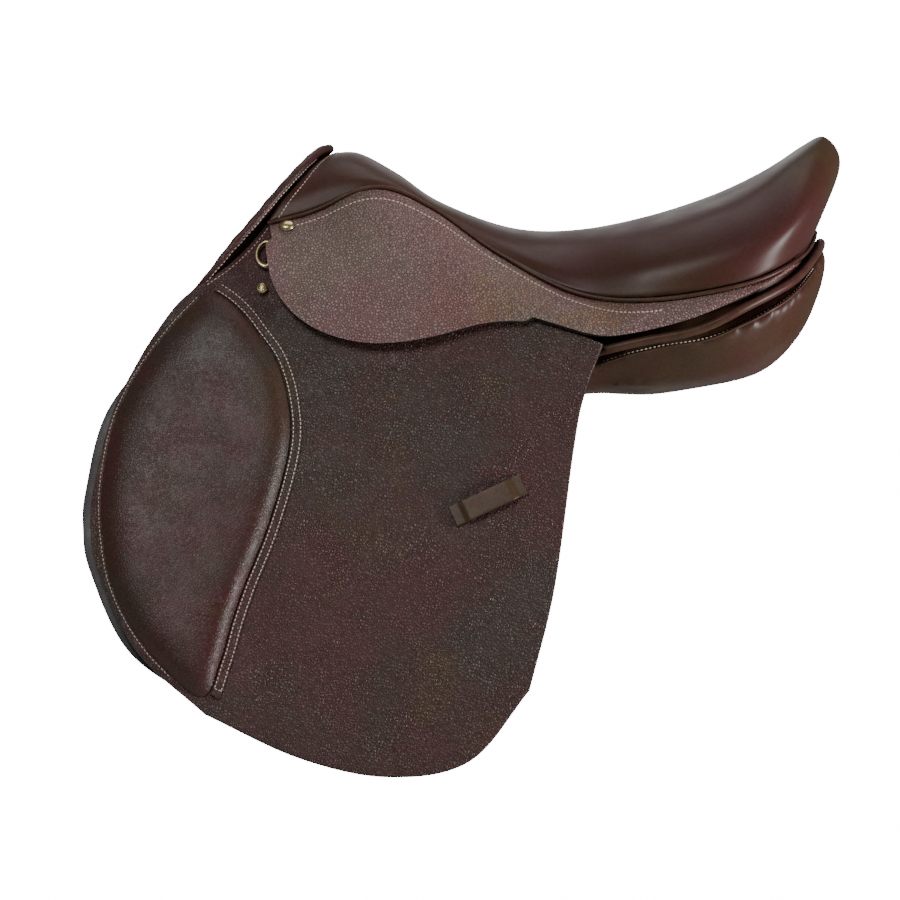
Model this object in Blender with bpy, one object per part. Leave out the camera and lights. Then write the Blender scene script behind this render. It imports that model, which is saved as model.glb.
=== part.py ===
"""An English jumping saddle with its tree, seat, panels, skirts, flaps, girth straps and fittings.

The file works in millimetres and turns them into metres when a mesh is made. +X is the cantle, +Z is up,
and -Y is the near (left) side. The origin is the ceiling of the gullet channel under the seat's dip.
"""

import math

import bmesh
import bpy
from mathutils import Matrix, Vector

MM = 0.001
GAP = 0.3

# Leather and wood thicknesses
COVER_LEATHER = 2.5
SKIRT_LEATHER = 3.0
FLAP_LEATHER = 4.5
SWEAT_FLAP_LEATHER = 3.0
STRAP_LEATHER = 3.5
GUARD_LEATHER = 2.5
GUARD_BAND = 1.2
FOAM_DEPTH = 15.0
TREE_DEPTH = 19.0
TREE_WALL = 11.0
GULLET_PLATE_STEEL = 2.0
SPRING_STEEL = 1.2
WEB_CLOTH = 0.8

# The flap's outer face: half widths measured from the saddle's middle plane
FLAP_FOLD_Z = -44.0
FLAP_FOLD_HALF_WIDTH = 138.0
FLAP_SPLAY = 0.28
FLAP_UPPER_CURL = 0.0022
FLAP_LOWER_CURL = 0.00008
FRONT_TAPER = 0.12
TAPER_HEIGHT = 326.0
FLAP_AXIS_STANDOFF = 12.0
FLAP_SPLIT = 0.6

# The skirt's outer face and its fold
SKIRT_FRONT_X = -224.0
SKIRT_FOLD_FRONT_Z = 40.0
SKIRT_FOLD_FALL = 0.309
SKIRT_FOLD_INSIDE_FLAP = 51.5
SKIRT_FOLD_HALF_WIDTH = FLAP_FOLD_HALF_WIDTH - SKIRT_FOLD_INSIDE_FLAP
SKIRT_FOLD_SPREAD = 0.237
SKIRT_FOLD_END_X = 20.0
SKIRT_LOBE_END_X = -20.0
SKIRT_SPLAY = 0.53
SKIRT_CURL = 0.0015
SKIRT_SPLIT = 0.8

# Layers behind the flap, each from the flap's outer face inwards
TREE_BEHIND_FLAP = 8.6
GUARD_BEHIND_FLAP = 6.0
WEB_BEHIND_FLAP = 2.9
STRAP_BEHIND_FLAP = 10.0
GUARD_BAND_BEHIND_FLAP = 16.2
SWEAT_FLAP_BEHIND_FLAP = 21.5

# Stirrup bars
BAR_X = -148.0
BAR_Z = -8.0
BAR_LENGTH = 78.0
BAR_HEIGHT = 12.0
BAR_THICKNESS = 5.2
BAR_PLATE_HEIGHT = 26.0
BAR_PLATE_THICKNESS = 2.5
BAR_LEATHER_GAP = 8.2
BAR_FRONT_ARM = 8.0
BAR_POCKET_DEPTH = 7.0
BAR_POCKET_MARGIN = 5.0
CATCH_LENGTH = 20.0
CATCH_PIN_RADIUS = 1.6
CATCH_EYE_RADIUS = 4.6
CATCH_TONGUE = 1.6
TONGUE_INSIDE_EYE = 1.0
PIN_CLEARANCE = 0.35
PIN_SIDES = 12
BAR_EDGE = 1.0

# Girth straps and their guard
STRAP_FRONT_X = -106.0
STRAP_SPACING = 38.0
STRAP_WIDTH = 26.0
STRAP_TOP_Z = -48.0
STRAP_LENGTH = 242.0
STRAP_PIVOT_DROP = 8.0
STRAP_POINT = 16.0
STRAP_TIP = 4.0
STRAP_TIP_SHARE = 0.55
STRAP_HOLES = 7
STRAP_HOLE_RADIUS = 2.4
STRAP_HOLE_SPACING = 25.0
STRAP_LAST_HOLE = 40.0
WEB_STEP_Z = -34.0
WEB_STEP_HEIGHT = 10.0
WEB_STRAP_CLEARANCE = 1.2
GUARD_TOP_Z = -150.0
GUARD_HEIGHT = 62.0
GUARD_OVERHANG = 9.0
GUARD_CORNER = 8.0
GUARD_BAND_INSET = 20.0
GUARD_SIDE_CLEARANCE = 0.5

# Brass fittings
NAIL_RADIUS = 5.6
STUD_RADIUS = 4.2
STUD_X = -227.0
STUD_Z = -2.0
DEE_X = -220.5
DEE_Z = 24.0
DEE_HEIGHT = 26.0
DEE_DEPTH = 11.0
DEE_BEND = 3.0
DEE_WIRE = 1.7
CHAPE_LEATHER = 1.5
CHAPE_TAIL = 24.0
CHAPE_WIDTH = 15.0

# Rolls, welts and pads
SEAT_WELT_RADIUS = 2.1
WELT_CLEARANCE = 0.7
WELT_PROUD = 1.2
PANEL_WELT_RADIUS = 3.6
FRONT_ROLL_RADIUS = 4.2
FACING_REACH = 20.0
FACING_LEATHER = 2.4
FACING_FLANGE_ANGLE = 35.0
FACING_HEART = (-215.0, 0.0, 10.0)
CANTLE_BACK_LEATHER = 2.5
CANTLE_BACK_INSET = 5.6
CANTLE_BACK_LEAN = 1.4
KNEE_PAD_CROWN = 13.0
PAD_SEAT = 0.55
PAD_RIM = 0.6
KNEE_EDGING_WIDTH = 7.0
KNEE_EDGING_LEATHER = 1.6
EDGING_CLEARANCE = 0.5
KEEPER_LENGTH = 60.0
KEEPER_WIDTH = 16.5
KEEPER_LEATHER = 2.4
KEEPER_RISE = 2.6

# The opening in the tree's seat, which the webs span
OPENING_FRONT_X = -112.0
OPENING_REAR_X = 148.0
OPENING_HALF_WIDTH = 36.0
# Heights that the cut runs between, far below and above the tree
OPENING_CUT_Z = (-60.0, 160.0)

# The tables of points are drawn for a flap's fold at this half width, and are widened with it
EXTRA_WIDTH = FLAP_FOLD_HALF_WIDTH - 138.0

# Seat stations from pommel to cantle. Each runs from the middle out to the seam with the skirt.
SEAT_STATIONS = [
    [(-172, 0, 108), (-181, 22, 105), (-199, 44, 95), (-219, 61, 75), (-233, 70, 55)],
    [(-152, 0, 107), (-156, 22, 105.5), (-165, 45, 98), (-176, 60, 84), (-185, 67, 67)],
    [(-122, 0, 90.5), (-124, 22, 91), (-128, 44, 89), (-133, 59, 85), (-137, 65, 79.5)],
    [(-90, 0, 69), (-91, 24, 69), (-92, 46, 67.5), (-94, 61, 65), (-95, 67.5, 62)],
    [(-35, 0, 49), (-36, 28, 48), (-39, 54, 44), (-43, 74, 37), (-45, 84, 28)],
    [(15, 0, 47), (15, 38, 45), (15, 74, 34), (15, 100, 14), (15, 111, -3)],
    [(70, 0, 57.5), (72, 50, 54), (75, 95, 42), (77, 126, 18), (75, 134, -8)],
    [(120, 0, 73.5), (130, 50, 72), (145, 95, 66), (158, 128, 38), (148, 132, 5)],
    [(155, 0, 89), (172, 32, 97), (190, 64, 100), (202, 90, 70), (190, 92, 27)],
    [(172, 0, 98), (194, 0, 113.5), (212, 0, 120.5), (224, 0, 98), (204, 0, 48)],
]

# The rows and columns that the seat's layers share, as t along the seat and r across it
SEAT_ROWS = [i / 18 for i in range(19)]
FOAM_COLUMNS = [round(0.8 * i / 6, 6) for i in range(-6, 7)]
FOAM_FIRST_ROW = 3
# The tree follows the seat's surface to this share of its own half width, and then turns down its sides
TREE_TOP = 0.6

# Lower edge of the tree at the stations from the pommel to the flap's back edge:
# x, height of the side's middle, height of the edge, and how far it lies inside the flap's layers
TREE_SIDES = [
    (-238, 18, -58, 0),
    (-190, 14, -34, 0),
    (-140, 12, -34, 0),
    (-100, 6, -32, 1.5),
    (-50, -6, -30, 1.5),
    (10, -18, -29, 8),
]
# Behind the straps' webs the tree's edge lies inside the seam: inwards and upwards from it
TREE_REAR_INSET = 11.0
TREE_REAR_RISE = 3.0

# Lower edge of the skirt's narrow tail, which ends at a tip beside the cantle
SKIRT_TAIL = [(40, 143, -38), (72, 142.5, -33), (110, 144, -22), (155, 134, -2), (186, 103, 17)]

# Outlines seen from the side, as x and z
FLAP_FRONT = [(-309, -44.6), (-340, -95), (-355.5, -156), (-357, -186), (-351, -216), (-321, -277),
              (-268, -325)]
FLAP_BOTTOM = [(-268, -325), (-196, -358), (-128, -372), (-67, -360), (-22, -307)]
FLAP_REAR = [(-22, -307), (-3, -231), (12, -125), (20, -84), (35, -44.6)]
FLAP_TOP_FRONT = [(-230, 44), (-241, 24), (-259, 1), (-296, -30), (-308.5, -44)]
FLAP_TOP_BACK = [(34.8, -44), (10, -34), (-30, -20), (-70, -2), (-105, 25), (-140, 48), (-180, 54),
                 (-212, 52), (-230, 44)]
SKIRT_LOBE = [(-20, -27.6), (-36, -26.5), (-59, -28.7), (-90, -37), (-121, -42.6), (-151, -42.6), (-182, -34),
              (-205, -18), (-219, 3.4), (-224.3, 28), (-224.5, 39.5)]
SWEAT_FLAP_FRONT = [(-302, -37), (-347, -95), (-362.5, -156), (-364, -186), (-358, -218), (-329, -280),
                    (-272, -331)]
SWEAT_FLAP_BOTTOM = [(-272, -331), (-200, -350), (-128, -356), (-72, -345), (-34, -300)]
SWEAT_FLAP_REAR = [(-34, -300), (-14, -210), (0, -110), (12, -37)]
KNEE_PAD = [(-266.5, -2.6), (-241.5, -15.5), (-224.8, -34.4), (-208.9, -61), (-198.3, -87.5), (-193.7, -118),
            (-198.3, -155.7), (-208.9, -186), (-224.8, -224), (-241.5, -262), (-268, -316.4), (-302, -288.4),
            (-321, -265.6), (-336, -239), (-345.3, -209), (-349.5, -163), (-343.8, -118), (-332.4, -87.5),
            (-313.5, -57.2), (-290.7, -28.4)]
# Upper edges of the girth straps' webs: how far behind the front strap's middle, and the height
WEB_FRONT_TOP = [(36, -20), (18, -18)]
WEB_REAR_TOP = [(82, -24), (52, -21)]
KEEPER_CENTRE = (-53.3, -163.5)
KEEPER_TILT = math.radians(25.2)

# Panels: for each x, the side against the tree as three points, y and z, and the depth of the stuffing
PANEL_STATIONS = [
    (-256, (52, 14), (70, -25), (88, -75), 14),
    (-225, (42, 40), (75, -20), (99, -98), 26),
    (-150, (34, 46), (82, -16), (109, -104), 32),
    (-80, (30, 16), (84, -24), (113, -98), 36),
    (-10, (30, 2), (83, -30), (119, -84), 42),
    (60, (30, 2), (84, -17), (133, -50), 64),
    (115, (28, 8), (80, -6), (133, -44), 68),
    (160, (24, 18), (66, 2), (116, -26), 58),
    (190, (20, 30), (46, 20), (84, -4), 42),
    (205, (20, 30), (34, 27), (52, 16), 16),
]

# The welt at the panel's top behind the flap, from the flap's back edge round to the cantle's middle
PANEL_WELT = [(40, 139, -46), (64, 139, -42), (109, 140, -33), (146, 134, -15), (182, 107, 5),
              (202, 60, 27), (208, 0, 37)]

# The facing roll along the pommel's front edge, from the middle down the near side
FRONT_ROLL = [(-177, 0, 110.5), (-186, 22, 107.5), (-203, 45, 97), (-224, 64, 77), (-239, 74, 55),
              (-252, 81, 30), (-268, 91, 2)]


def cubic(p0, p1, p2, p3, f):
    """A smooth curve's point between p1 and p2, with p0 and p3 as their neighbours."""
    return 0.5 * (
        2 * p1
        + (p2 - p0) * f
        + (2 * p0 - 5 * p1 + 4 * p2 - p3) * f**2
        + (3 * p1 - p0 - 3 * p2 + p3) * f**3
    )


def along(points, t, crosses=""):
    """The point at t, from 0 to 1, on a smooth curve through the points.

    Where crosses names first or last, that end lies in the middle plane and the curve's mirror image
    follows it.
    """
    places = [Vector(point) for point in points]
    last = len(places) - 1
    places = [beyond(places[0], places[1], "first" in crosses)] + places
    places.append(beyond(places[-1], places[-2], "last" in crosses))
    span = min(int(t * last), last - 1)
    return cubic(*places[span:span + 4], t * last - span)


def beyond(end, neighbour, in_middle):
    """The point that continues a curve past its end, straight on or mirrored in the middle plane."""
    if in_middle:
        return Vector((neighbour.x, -neighbour.y, neighbour.z))
    return 2 * end - neighbour


def steps(count, low=0.0, high=1.0):
    """Evenly spaced values from low to high. A symmetric range has an exact zero in its middle."""
    values = [low + (high - low) * i / count for i in range(count)] + [high]
    return [0.0 if abs(value) < 1e-9 else value for value in values]


def run(points, per_span, crosses=""):
    """Points along a smooth open curve, with per_span steps between each two of the given points."""
    return [along(points, t, crosses) for t in steps(per_span * (len(points) - 1))]


def joined(*runs):
    """Runs that meet at their ends, as one closed loop with each corner once."""
    return [point for one in runs for point in one[:-1]]


def widened(y):
    """A half width from the tables. Beyond the tree's opening it moves as far as the flap's fold does."""
    return y + EXTRA_WIDTH * min(1, y / OPENING_HALF_WIDTH)


def near_side(points):
    """A table of x, half width and z as points on the near side."""
    return [Vector((x, -widened(y), z)) for x, y, z in points]


def flap_face(x, z):
    """Half width of the flap's outer face."""
    drop = FLAP_FOLD_Z - z
    curl = FLAP_LOWER_CURL if drop > 0 else FLAP_UPPER_CURL
    taper = FRONT_TAPER * (1 - max(drop, 0) / TAPER_HEIGHT)
    return FLAP_FOLD_HALF_WIDTH + FLAP_SPLAY * drop - curl * drop**2 + taper * x


def skirt_fold(x):
    """The point of the skirt's straight fold at x, as y and z."""
    back = x - SKIRT_FRONT_X
    return SKIRT_FOLD_HALF_WIDTH + SKIRT_FOLD_SPREAD * back, SKIRT_FOLD_FRONT_Z - SKIRT_FOLD_FALL * back


def skirt_face(x, z):
    """Half width of the hanging skirt's outer face."""
    width, fold_z = skirt_fold(x)
    drop = fold_z - z
    return width + SKIRT_SPLAY * drop - SKIRT_CURL * drop**2


def material(name, colour, roughness, metallic=0.0):
    made = bpy.data.materials.new(name)
    made.use_nodes = True
    shader = made.node_tree.nodes["Principled BSDF"]
    shader.inputs["Base Color"].default_value = (*colour, 1)
    shader.inputs["Roughness"].default_value = roughness
    shader.inputs["Metallic"].default_value = metallic
    made.diffuse_color = (*colour, 1)
    return made


def clear_scene():
    for old in list(bpy.data.objects):
        bpy.data.objects.remove(old)


def collection(name):
    made = bpy.data.collections.new(name)
    bpy.context.scene.collection.children.link(made)
    return made


def body(name, points, faces, finish, origin=(0, 0, 0), home=None):
    """An object from points in millimetres, placed at its origin, with its faces turned outwards."""
    start = Vector(origin)
    mesh = bpy.data.meshes.new(name)
    mesh.from_pydata([(Vector(p) - start) * MM for p in points], [], faces)
    bm = bmesh.new()
    bm.from_mesh(mesh)
    bmesh.ops.remove_doubles(bm, verts=bm.verts[:], dist=0.01 * MM)
    bmesh.ops.recalc_face_normals(bm, faces=bm.faces[:])
    bm.to_mesh(mesh)
    bm.free()
    mesh.shade_smooth()
    mesh.set_sharp_from_angle(angle=math.radians(40))
    made = bpy.data.objects.new(name, mesh)
    made.location = start * MM
    mesh.materials.append(finish)
    (home or SADDLE).objects.link(made)
    return made


def mirrored(left):
    """The off-side twin of a near-side piece, with the middle plane as the mirror."""
    graph = bpy.context.evaluated_depsgraph_get()
    mesh = bpy.data.meshes.new_from_object(left.evaluated_get(graph))
    flip = Matrix.Scale(-1, 4, (0, 1, 0))
    mesh.transform(flip @ left.matrix_world)
    mesh.flip_normals()
    place = flip @ left.location
    mesh.transform(Matrix.Translation(-place))
    twin = bpy.data.objects.new(left.name.replace("left_", "right_"), mesh)
    twin.location = place
    SADDLE.objects.link(twin)
    return twin


def between(name, outer, inner, faces, finish, **place):
    """A closed body between two skins that share the same faces, with its edges walled."""
    count = len(outer)
    first = {}
    same = [first.setdefault(tuple(round(c, 2) for c in p), i) for i, p in enumerate(outer)]
    faces = [[same[i] for i in face] for face in faces]
    faces = [face for face in faces if len(set(face)) == len(face)]
    use = {}
    for face in faces:
        for a, b in zip(face, face[1:] + face[:1]):
            use.setdefault(frozenset((a, b)), []).append((a, b))
    walls = [(a, b, b + count, a + count) for sides in use.values() if len(sides) == 1 for a, b in sides]
    backs = [tuple(i + count for i in [face[0]] + face[:0:-1]) for face in faces]
    return body(name, outer + inner, [tuple(f) for f in faces] + backs + walls, finish, **place)


def grid(rows, columns):
    return [
        [i * columns + j, i * columns + j + 1, (i + 1) * columns + j + 1, (i + 1) * columns + j]
        for i in range(rows - 1)
        for j in range(columns - 1)
    ]


def slab(name, ts, rs, outer, inner, finish, **place):
    """A closed body between the surfaces outer(t, r) and inner(t, r)."""
    spots = [(t, r) for t in ts for r in rs]
    return between(
        name, [outer(t, r) for t, r in spots], [inner(t, r) for t, r in spots],
        grid(len(ts), len(rs)), finish, **place,
    )


def sheet(name, loop, outer, inner, steps_xz, finish, **place):
    """A leather sheet on the near side: its outline seen from the side, laid on two half-width surfaces."""
    bm = bmesh.new()
    bm.faces.new([bm.verts.new((p[0], 0, p[1])) for p in loop])
    for axis, step in zip((0, 2), steps_xz):
        normal = Vector((axis == 0, 0, axis == 2))
        places = [v.co[axis] for v in bm.verts]
        line = math.ceil(min(places) / step + 0.1) * step
        while line < max(places) - 0.1 * step:
            parts = bm.verts[:] + bm.edges[:] + bm.faces[:]
            bmesh.ops.bisect_plane(bm, geom=parts, plane_co=normal * line, plane_no=normal, dist=0.02)
            line += step
    bmesh.ops.triangulate(bm, faces=bm.faces[:])
    bm.verts.index_update()
    flat = [v.co.copy() for v in bm.verts]
    faces = [[v.index for v in face.verts] for face in bm.faces]
    bm.free()
    outside = [Vector((p.x, -outer(p.x, p.z), p.z)) for p in flat]
    inside = [Vector((p.x, -inner(p.x, p.z), p.z)) for p in flat]
    return between(name, outside, inside, faces, finish, **place)


def behind_flap(depth):
    return lambda x, z: flap_face(x, z) - depth


def tube(name, path, radius, finish, sides=2, cyclic=False):
    """A round cord or wire as a curve along a path in millimetres, made a mesh."""
    curve = bpy.data.curves.new(name, "CURVE")
    curve.dimensions = "3D"
    curve.bevel_depth = radius * MM
    curve.bevel_resolution = sides
    curve.use_fill_caps = not cyclic
    spline = curve.splines.new("POLY")
    spline.points.add(len(path) - 1)
    for point, place in zip(spline.points, path):
        point.co = (*(Vector(place) * MM), 1)
    spline.use_cyclic_u = cyclic
    source = bpy.data.objects.new(name + "_curve", curve)
    SADDLE.objects.link(source)
    graph = bpy.context.evaluated_depsgraph_get()
    mesh = bpy.data.meshes.new_from_object(source.evaluated_get(graph))
    points = [v.co / MM for v in mesh.vertices]
    faces = [tuple(face.vertices) for face in mesh.polygons]
    bpy.data.objects.remove(source)
    return body(name, points, faces, finish)


def plate(name, outline, holes, thickness, frame, finish, origin):
    """A flat piece from a 2D outline with holes, laid in a frame whose third axis is its thickness."""
    curve = bpy.data.curves.new(name, "CURVE")
    curve.dimensions = "2D"
    curve.fill_mode = "BOTH"
    curve.extrude = thickness / 2 * MM
    for loop in [outline] + holes:
        spline = curve.splines.new("POLY")
        spline.points.add(len(loop) - 1)
        for point, place in zip(spline.points, loop):
            point.co = (place[0] * MM, place[1] * MM, 0, 1)
        spline.use_cyclic_u = True
    source = bpy.data.objects.new(name + "_curve", curve)
    SADDLE.objects.link(source)
    graph = bpy.context.evaluated_depsgraph_get()
    mesh = bpy.data.meshes.new_from_object(source.evaluated_get(graph))
    points = [frame @ Vector((v.co.x / MM, v.co.y / MM, v.co.z / MM + thickness / 2)) for v in mesh.vertices]
    faces = [tuple(face.vertices) for face in mesh.polygons]
    bpy.data.objects.remove(source)
    return body(name, points, faces, finish, origin=origin)


def circle(x, y, radius, count):
    return [(x + radius * math.cos(a), y + radius * math.sin(a)) for a in steps(count, 0, math.tau)[:-1]]


def ring_faces(rings, count):
    """The faces between closed rings of count points each, one ring after the other."""
    return [
        [i * count + j, i * count + (j + 1) % count, (i + 1) * count + (j + 1) % count, (i + 1) * count + j]
        for i in range(rings - 1)
        for j in range(count)
    ]


def fan(ring, count):
    """The triangles from one ring to a single point that follows it."""
    first = ring * count
    return [[first + j, first + (j + 1) % count, first + count] for j in range(count)]


def capped(rings, count):
    """The faces between closed rings, with the first and the last ring closed by a face each."""
    end = rings * count
    return ring_faces(rings, count) + [list(range(count)), list(range(end - 1, end - count - 1, -1))]


def box(low, high):
    """The points and faces of a box between two corners."""
    points = [(x, y, z) for x in (low[0], high[0]) for y in (low[1], high[1]) for z in (low[2], high[2])]
    faces = [(0, 1, 3, 2), (4, 6, 7, 5), (0, 4, 5, 1), (2, 3, 7, 6), (0, 2, 6, 4), (1, 5, 7, 3)]
    return points, faces


def cutter(name, points, faces):
    made = body(name, points, faces, LEATHER_BLACK, home=CUTTERS)
    made.hide_render = True
    made.display_type = "WIRE"
    return made


def cut(piece, tool, operation="DIFFERENCE"):
    change = piece.modifiers.new(tool.name, "BOOLEAN")
    change.operation = operation
    change.object = tool
    return change


def side_frame(x, z, depth):
    """A frame on the near side, depth behind the flap's face: rearwards, up the slope, and outwards."""
    step = 1.0
    place = Vector((x, -flap_face(x, z) + depth, z))
    back = Vector((step, flap_face(x, z) - flap_face(x + step, z), 0)).normalized()
    up = Vector((0, flap_face(x, z) - flap_face(x, z + step), step)).normalized()
    out = back.cross(up)
    up = out.cross(back).normalized()
    frame = Matrix((back, up, out.normalized())).transposed().to_4x4()
    frame.translation = place
    return frame


def on_side(place, t, r):
    """A point moved to the side that r names, or into the middle plane where both sides meet."""
    middle = r == 0 or t == 1
    return Vector((place.x, 0 if middle else place.y * math.copysign(1, -r), place.z))


def seat_point(t, r, depth=0.0):
    """The seat's surface, t from pommel to cantle and r from off seam to near seam, or a depth below it."""
    rows = [along(station, abs(r), "" if station is SEAT[-1] else "first") for station in SEAT]
    place = along(rows, t, "last")
    middle = along([station[0] for station in SEAT], t, "last")
    seam = along([station[-1] for station in SEAT], t, "last")
    heart = Vector(((middle.x + seam.x) / 2 - 14 * t, 0, min(middle.z, seam.z) - 48 + 24 * t))
    place += (heart - place).normalized() * depth
    return on_side(place, t, r)


def seam_point(t, reach=0.0, proud=0.0):
    """The near-side seam between seat and skirt, or a point beyond it and proud of the seat's surface."""
    edge = seat_point(t, 1)
    down = (edge - seat_point(t, 0.96)).normalized()
    return edge + down * reach + seam_normal(t) * proud


def seam_normal(t):
    """The direction that the seat's surface faces at its near-side seam."""
    down = seat_point(t, 1) - seat_point(t, 0.96)
    ahead = seat_point(min(t + 0.01, 1), 0.99) - seat_point(max(t - 0.01, 0), 0.99)
    facing = ahead.cross(down).normalized()
    return -facing if facing.y > 0.2 or (t > 0.9 and facing.x < 0) else facing


def tree_sides():
    """The middle and the lower edge of the tree's near side, at each seat station."""
    last = len(SEAT_STATIONS) - 1
    middles, edges = [], []
    for i in range(last + 1):
        if i < len(TREE_SIDES):
            x, middle, edge, inset = TREE_SIDES[i]
            low, high = (Vector((x, inset + TREE_BEHIND_FLAP - flap_face(x, z), z)) for z in (edge, middle))
        else:
            seam = seat_point(i / last, 1)
            inwards = seat_point(i / last, 1, 1) - seam
            inwards = Vector((inwards.x, inwards.y, 0)).normalized() * TREE_REAR_INSET
            low = seam + inwards + Vector((0, 0, TREE_REAR_RISE))
            high = low + Vector((0, 0, 2 * TREE_REAR_RISE))
        middles.append(high)
        edges.append(low)
    return middles, edges


def tree_point(t, c, lift=0.0):
    """The tree's outer surface, or a point lifted off it, with c from the off edge to the near edge."""
    def spot(t, c):
        if c <= TREE_TOP:
            return seat_point(t, FOAM_COLUMNS[-1] * c / TREE_TOP, TREE_DEPTH)
        top = [seat_point(t, FOAM_COLUMNS[place], TREE_DEPTH) for place in (-3, -1)]
        down = (c - TREE_TOP) / (1 - TREE_TOP)
        return along(top + [along(track, t) for track in TREE_FLANKS], (1 + 2 * down) / 3)

    small = 0.002
    place = spot(t, abs(c))
    if lift:
        ahead = spot(min(t + small, 1), abs(c)) - spot(max(t - small, 0), abs(c))
        across = spot(t, min(abs(c) + small, 1)) - spot(t, abs(c) - small)
        place += across.cross(ahead).normalized() * lift
    return on_side(Vector((place.x, -abs(place.y), place.z)), t, c)


def make_seat():
    edge = (1 + FOAM_COLUMNS[-1]) / 2
    columns = [-1, -edge] + FOAM_COLUMNS + [edge, 1]
    slab("seat_cover", SEAT_ROWS, columns, seat_point,
         lambda t, r: seat_point(t, r, COVER_LEATHER), LEATHER_SMOOTH)
    top = COVER_LEATHER + GAP
    slab("seat_foam", SEAT_ROWS[FOAM_FIRST_ROW:], FOAM_COLUMNS, lambda t, r: seat_point(t, r, top),
         lambda t, r: seat_point(t, r, FOAM_DEPTH), FOAM)


def make_tree():
    tree = slab("tree", SEAT_ROWS, TREE_COLUMNS, tree_point, lambda t, c: tree_point(t, c, -TREE_WALL), WOOD)
    ends = []
    for x, start in ((OPENING_REAR_X - OPENING_HALF_WIDTH, -90), (OPENING_FRONT_X + OPENING_HALF_WIDTH, 90)):
        for angle in steps(8, start, start + 180):
            turn = math.radians(angle)
            ends.append((x + OPENING_HALF_WIDTH * math.cos(turn), OPENING_HALF_WIDTH * math.sin(turn)))
    points = [(x, y, z) for z in OPENING_CUT_Z for x, y in ends]
    cut(tree, cutter("tree_opening", points, capped(2, len(ends))))
    return tree


def make_tree_fittings():
    """The gullet plate over the tree's head, the two springs under it and the webs over its opening."""
    low, high = 2 * GAP, 2 * GAP + GULLET_PLATE_STEEL
    slab("gullet_plate", [0.012, SEAT_ROWS[1], 0.1], TREE_COLUMNS[1:-1],
         lambda t, c: tree_point(t, c, high), lambda t, c: tree_point(t, c, low), STEEL)
    under = TREE_WALL + 3 * GAP
    mirrored(slab("left_tree_spring", SEAT_ROWS[3:16], TREE_COLUMNS[SPRING_COLUMN:SPRING_COLUMN + 2],
                  lambda t, c: tree_point(t, c, -under),
                  lambda t, c: tree_point(t, c, -under - SPRING_STEEL), STEEL))
    half = len(TREE_COLUMNS) // 2
    slab("seat_web_long", SEAT_ROWS[4:17], TREE_COLUMNS[half - 1:half + 2],
         lambda t, c: tree_point(t, c, low + WEB_CLOTH), lambda t, c: tree_point(t, c, low), WEBBING)
    over = low + WEB_CLOTH + 2 * GAP
    slab("seat_web_cross", SEAT_ROWS[8:10], TREE_COLUMNS[half - 3:half + 4],
         lambda t, c: tree_point(t, c, over + WEB_CLOTH), lambda t, c: tree_point(t, c, over), WEBBING)


def skirt_edge(t):
    """Lower edge of the fixed part of the skirt: its straight fold, then the tail under the seat's side."""
    x = along([(station[-1][0] + 9 * (i == 0), 0, 0) for i, station in enumerate(SEAT_STATIONS)], t).x
    if x <= SKIRT_FOLD_END_X:
        width, z = skirt_fold(x)
        return Vector((x, -width, z))
    first = Vector((SKIRT_FOLD_END_X, -skirt_fold(SKIRT_FOLD_END_X)[0], skirt_fold(SKIRT_FOLD_END_X)[1]))
    tail = [first] + near_side(SKIRT_TAIL)
    start, end = fold_end_t(), 8 / 9
    return along(tail, min(1, max(0, (t - start) / (end - start))))


def fold_end_t():
    """How far along the seam the skirt's fold ends and its tail begins."""
    low, high = 0.4, 0.7
    for _ in range(20):
        middle = (low + high) / 2
        if along([station[-1] for station in SEAT_STATIONS], middle).x < SKIRT_FOLD_END_X:
            low = middle
        else:
            high = middle
    return low


def skirt_top_point(t, f, inwards=0.0):
    """The fixed part of the skirt, with f from the seam welt down to the fold."""
    top = seam_point(t, 2 * (SEAT_WELT_RADIUS + WELT_CLEARANCE))
    low = skirt_edge(t)
    place = top.lerp(low, f)
    run_down = low - top
    flat = Vector((0, -1, 0))
    out = flat - run_down * (flat.dot(run_down) / max(run_down.length_squared, 1))
    bulge = min(4.0, 0.06 * run_down.length) * math.sin(math.pi * f)
    on_fold = f * min(1, max(0, (0.75 - t) / 0.15))
    return place + out.normalized() * bulge - seam_normal(t).lerp(flat, on_fold) * inwards


def make_skirts():
    up = Vector((0, 0, SKIRT_SPLIT / 2))
    fixed = slab("left_skirt_top", [0.012] + SEAT_ROWS[1:17], steps(4), skirt_top_point,
                 lambda t, f: skirt_top_point(t, f, SKIRT_LEATHER) + up * f, LEATHER_GRAIN)
    mirrored(fixed)
    fold = [(x, skirt_fold(x)[1] - SKIRT_SPLIT) for x in steps(5, SKIRT_FRONT_X - 0.5, SKIRT_LOBE_END_X)]
    loop = joined(run(SKIRT_LOBE, 2), [Vector(p) for p in fold])
    width, z = skirt_fold(SKIRT_FRONT_X)
    mirrored(sheet("left_skirt", loop + [Vector(fold[-1])], skirt_face,
                   lambda x, z: skirt_face(x, z) - SKIRT_LEATHER,
                   (40, 15), LEATHER_GRAIN, origin=(SKIRT_FRONT_X, -width, z)))


def make_welts():
    """The seat's welt and the panel's welt. Each is one cord that runs round the cantle from side to side."""
    reach = SEAT_WELT_RADIUS + WELT_CLEARANCE
    near = [seam_point(t, reach, WELT_PROUD) for t in [0.006] + SEAT_ROWS[1:]]
    tube("seat_welt", both_sides(near), SEAT_WELT_RADIUS, LEATHER_SMOOTH, 1)
    near = run(near_side(PANEL_WELT), 3, "last")
    tube("panel_welt", both_sides(near), PANEL_WELT_RADIUS, LEATHER_SMOOTH, 1)


def both_sides(near):
    """A path that runs along the near side to the middle plane and back along the off side."""
    far = [Vector((p.x, -p.y, p.z)) for p in near[-2::-1]]
    return near[:-1] + [Vector((near[-1].x, 0, near[-1].z))] + far


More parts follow.
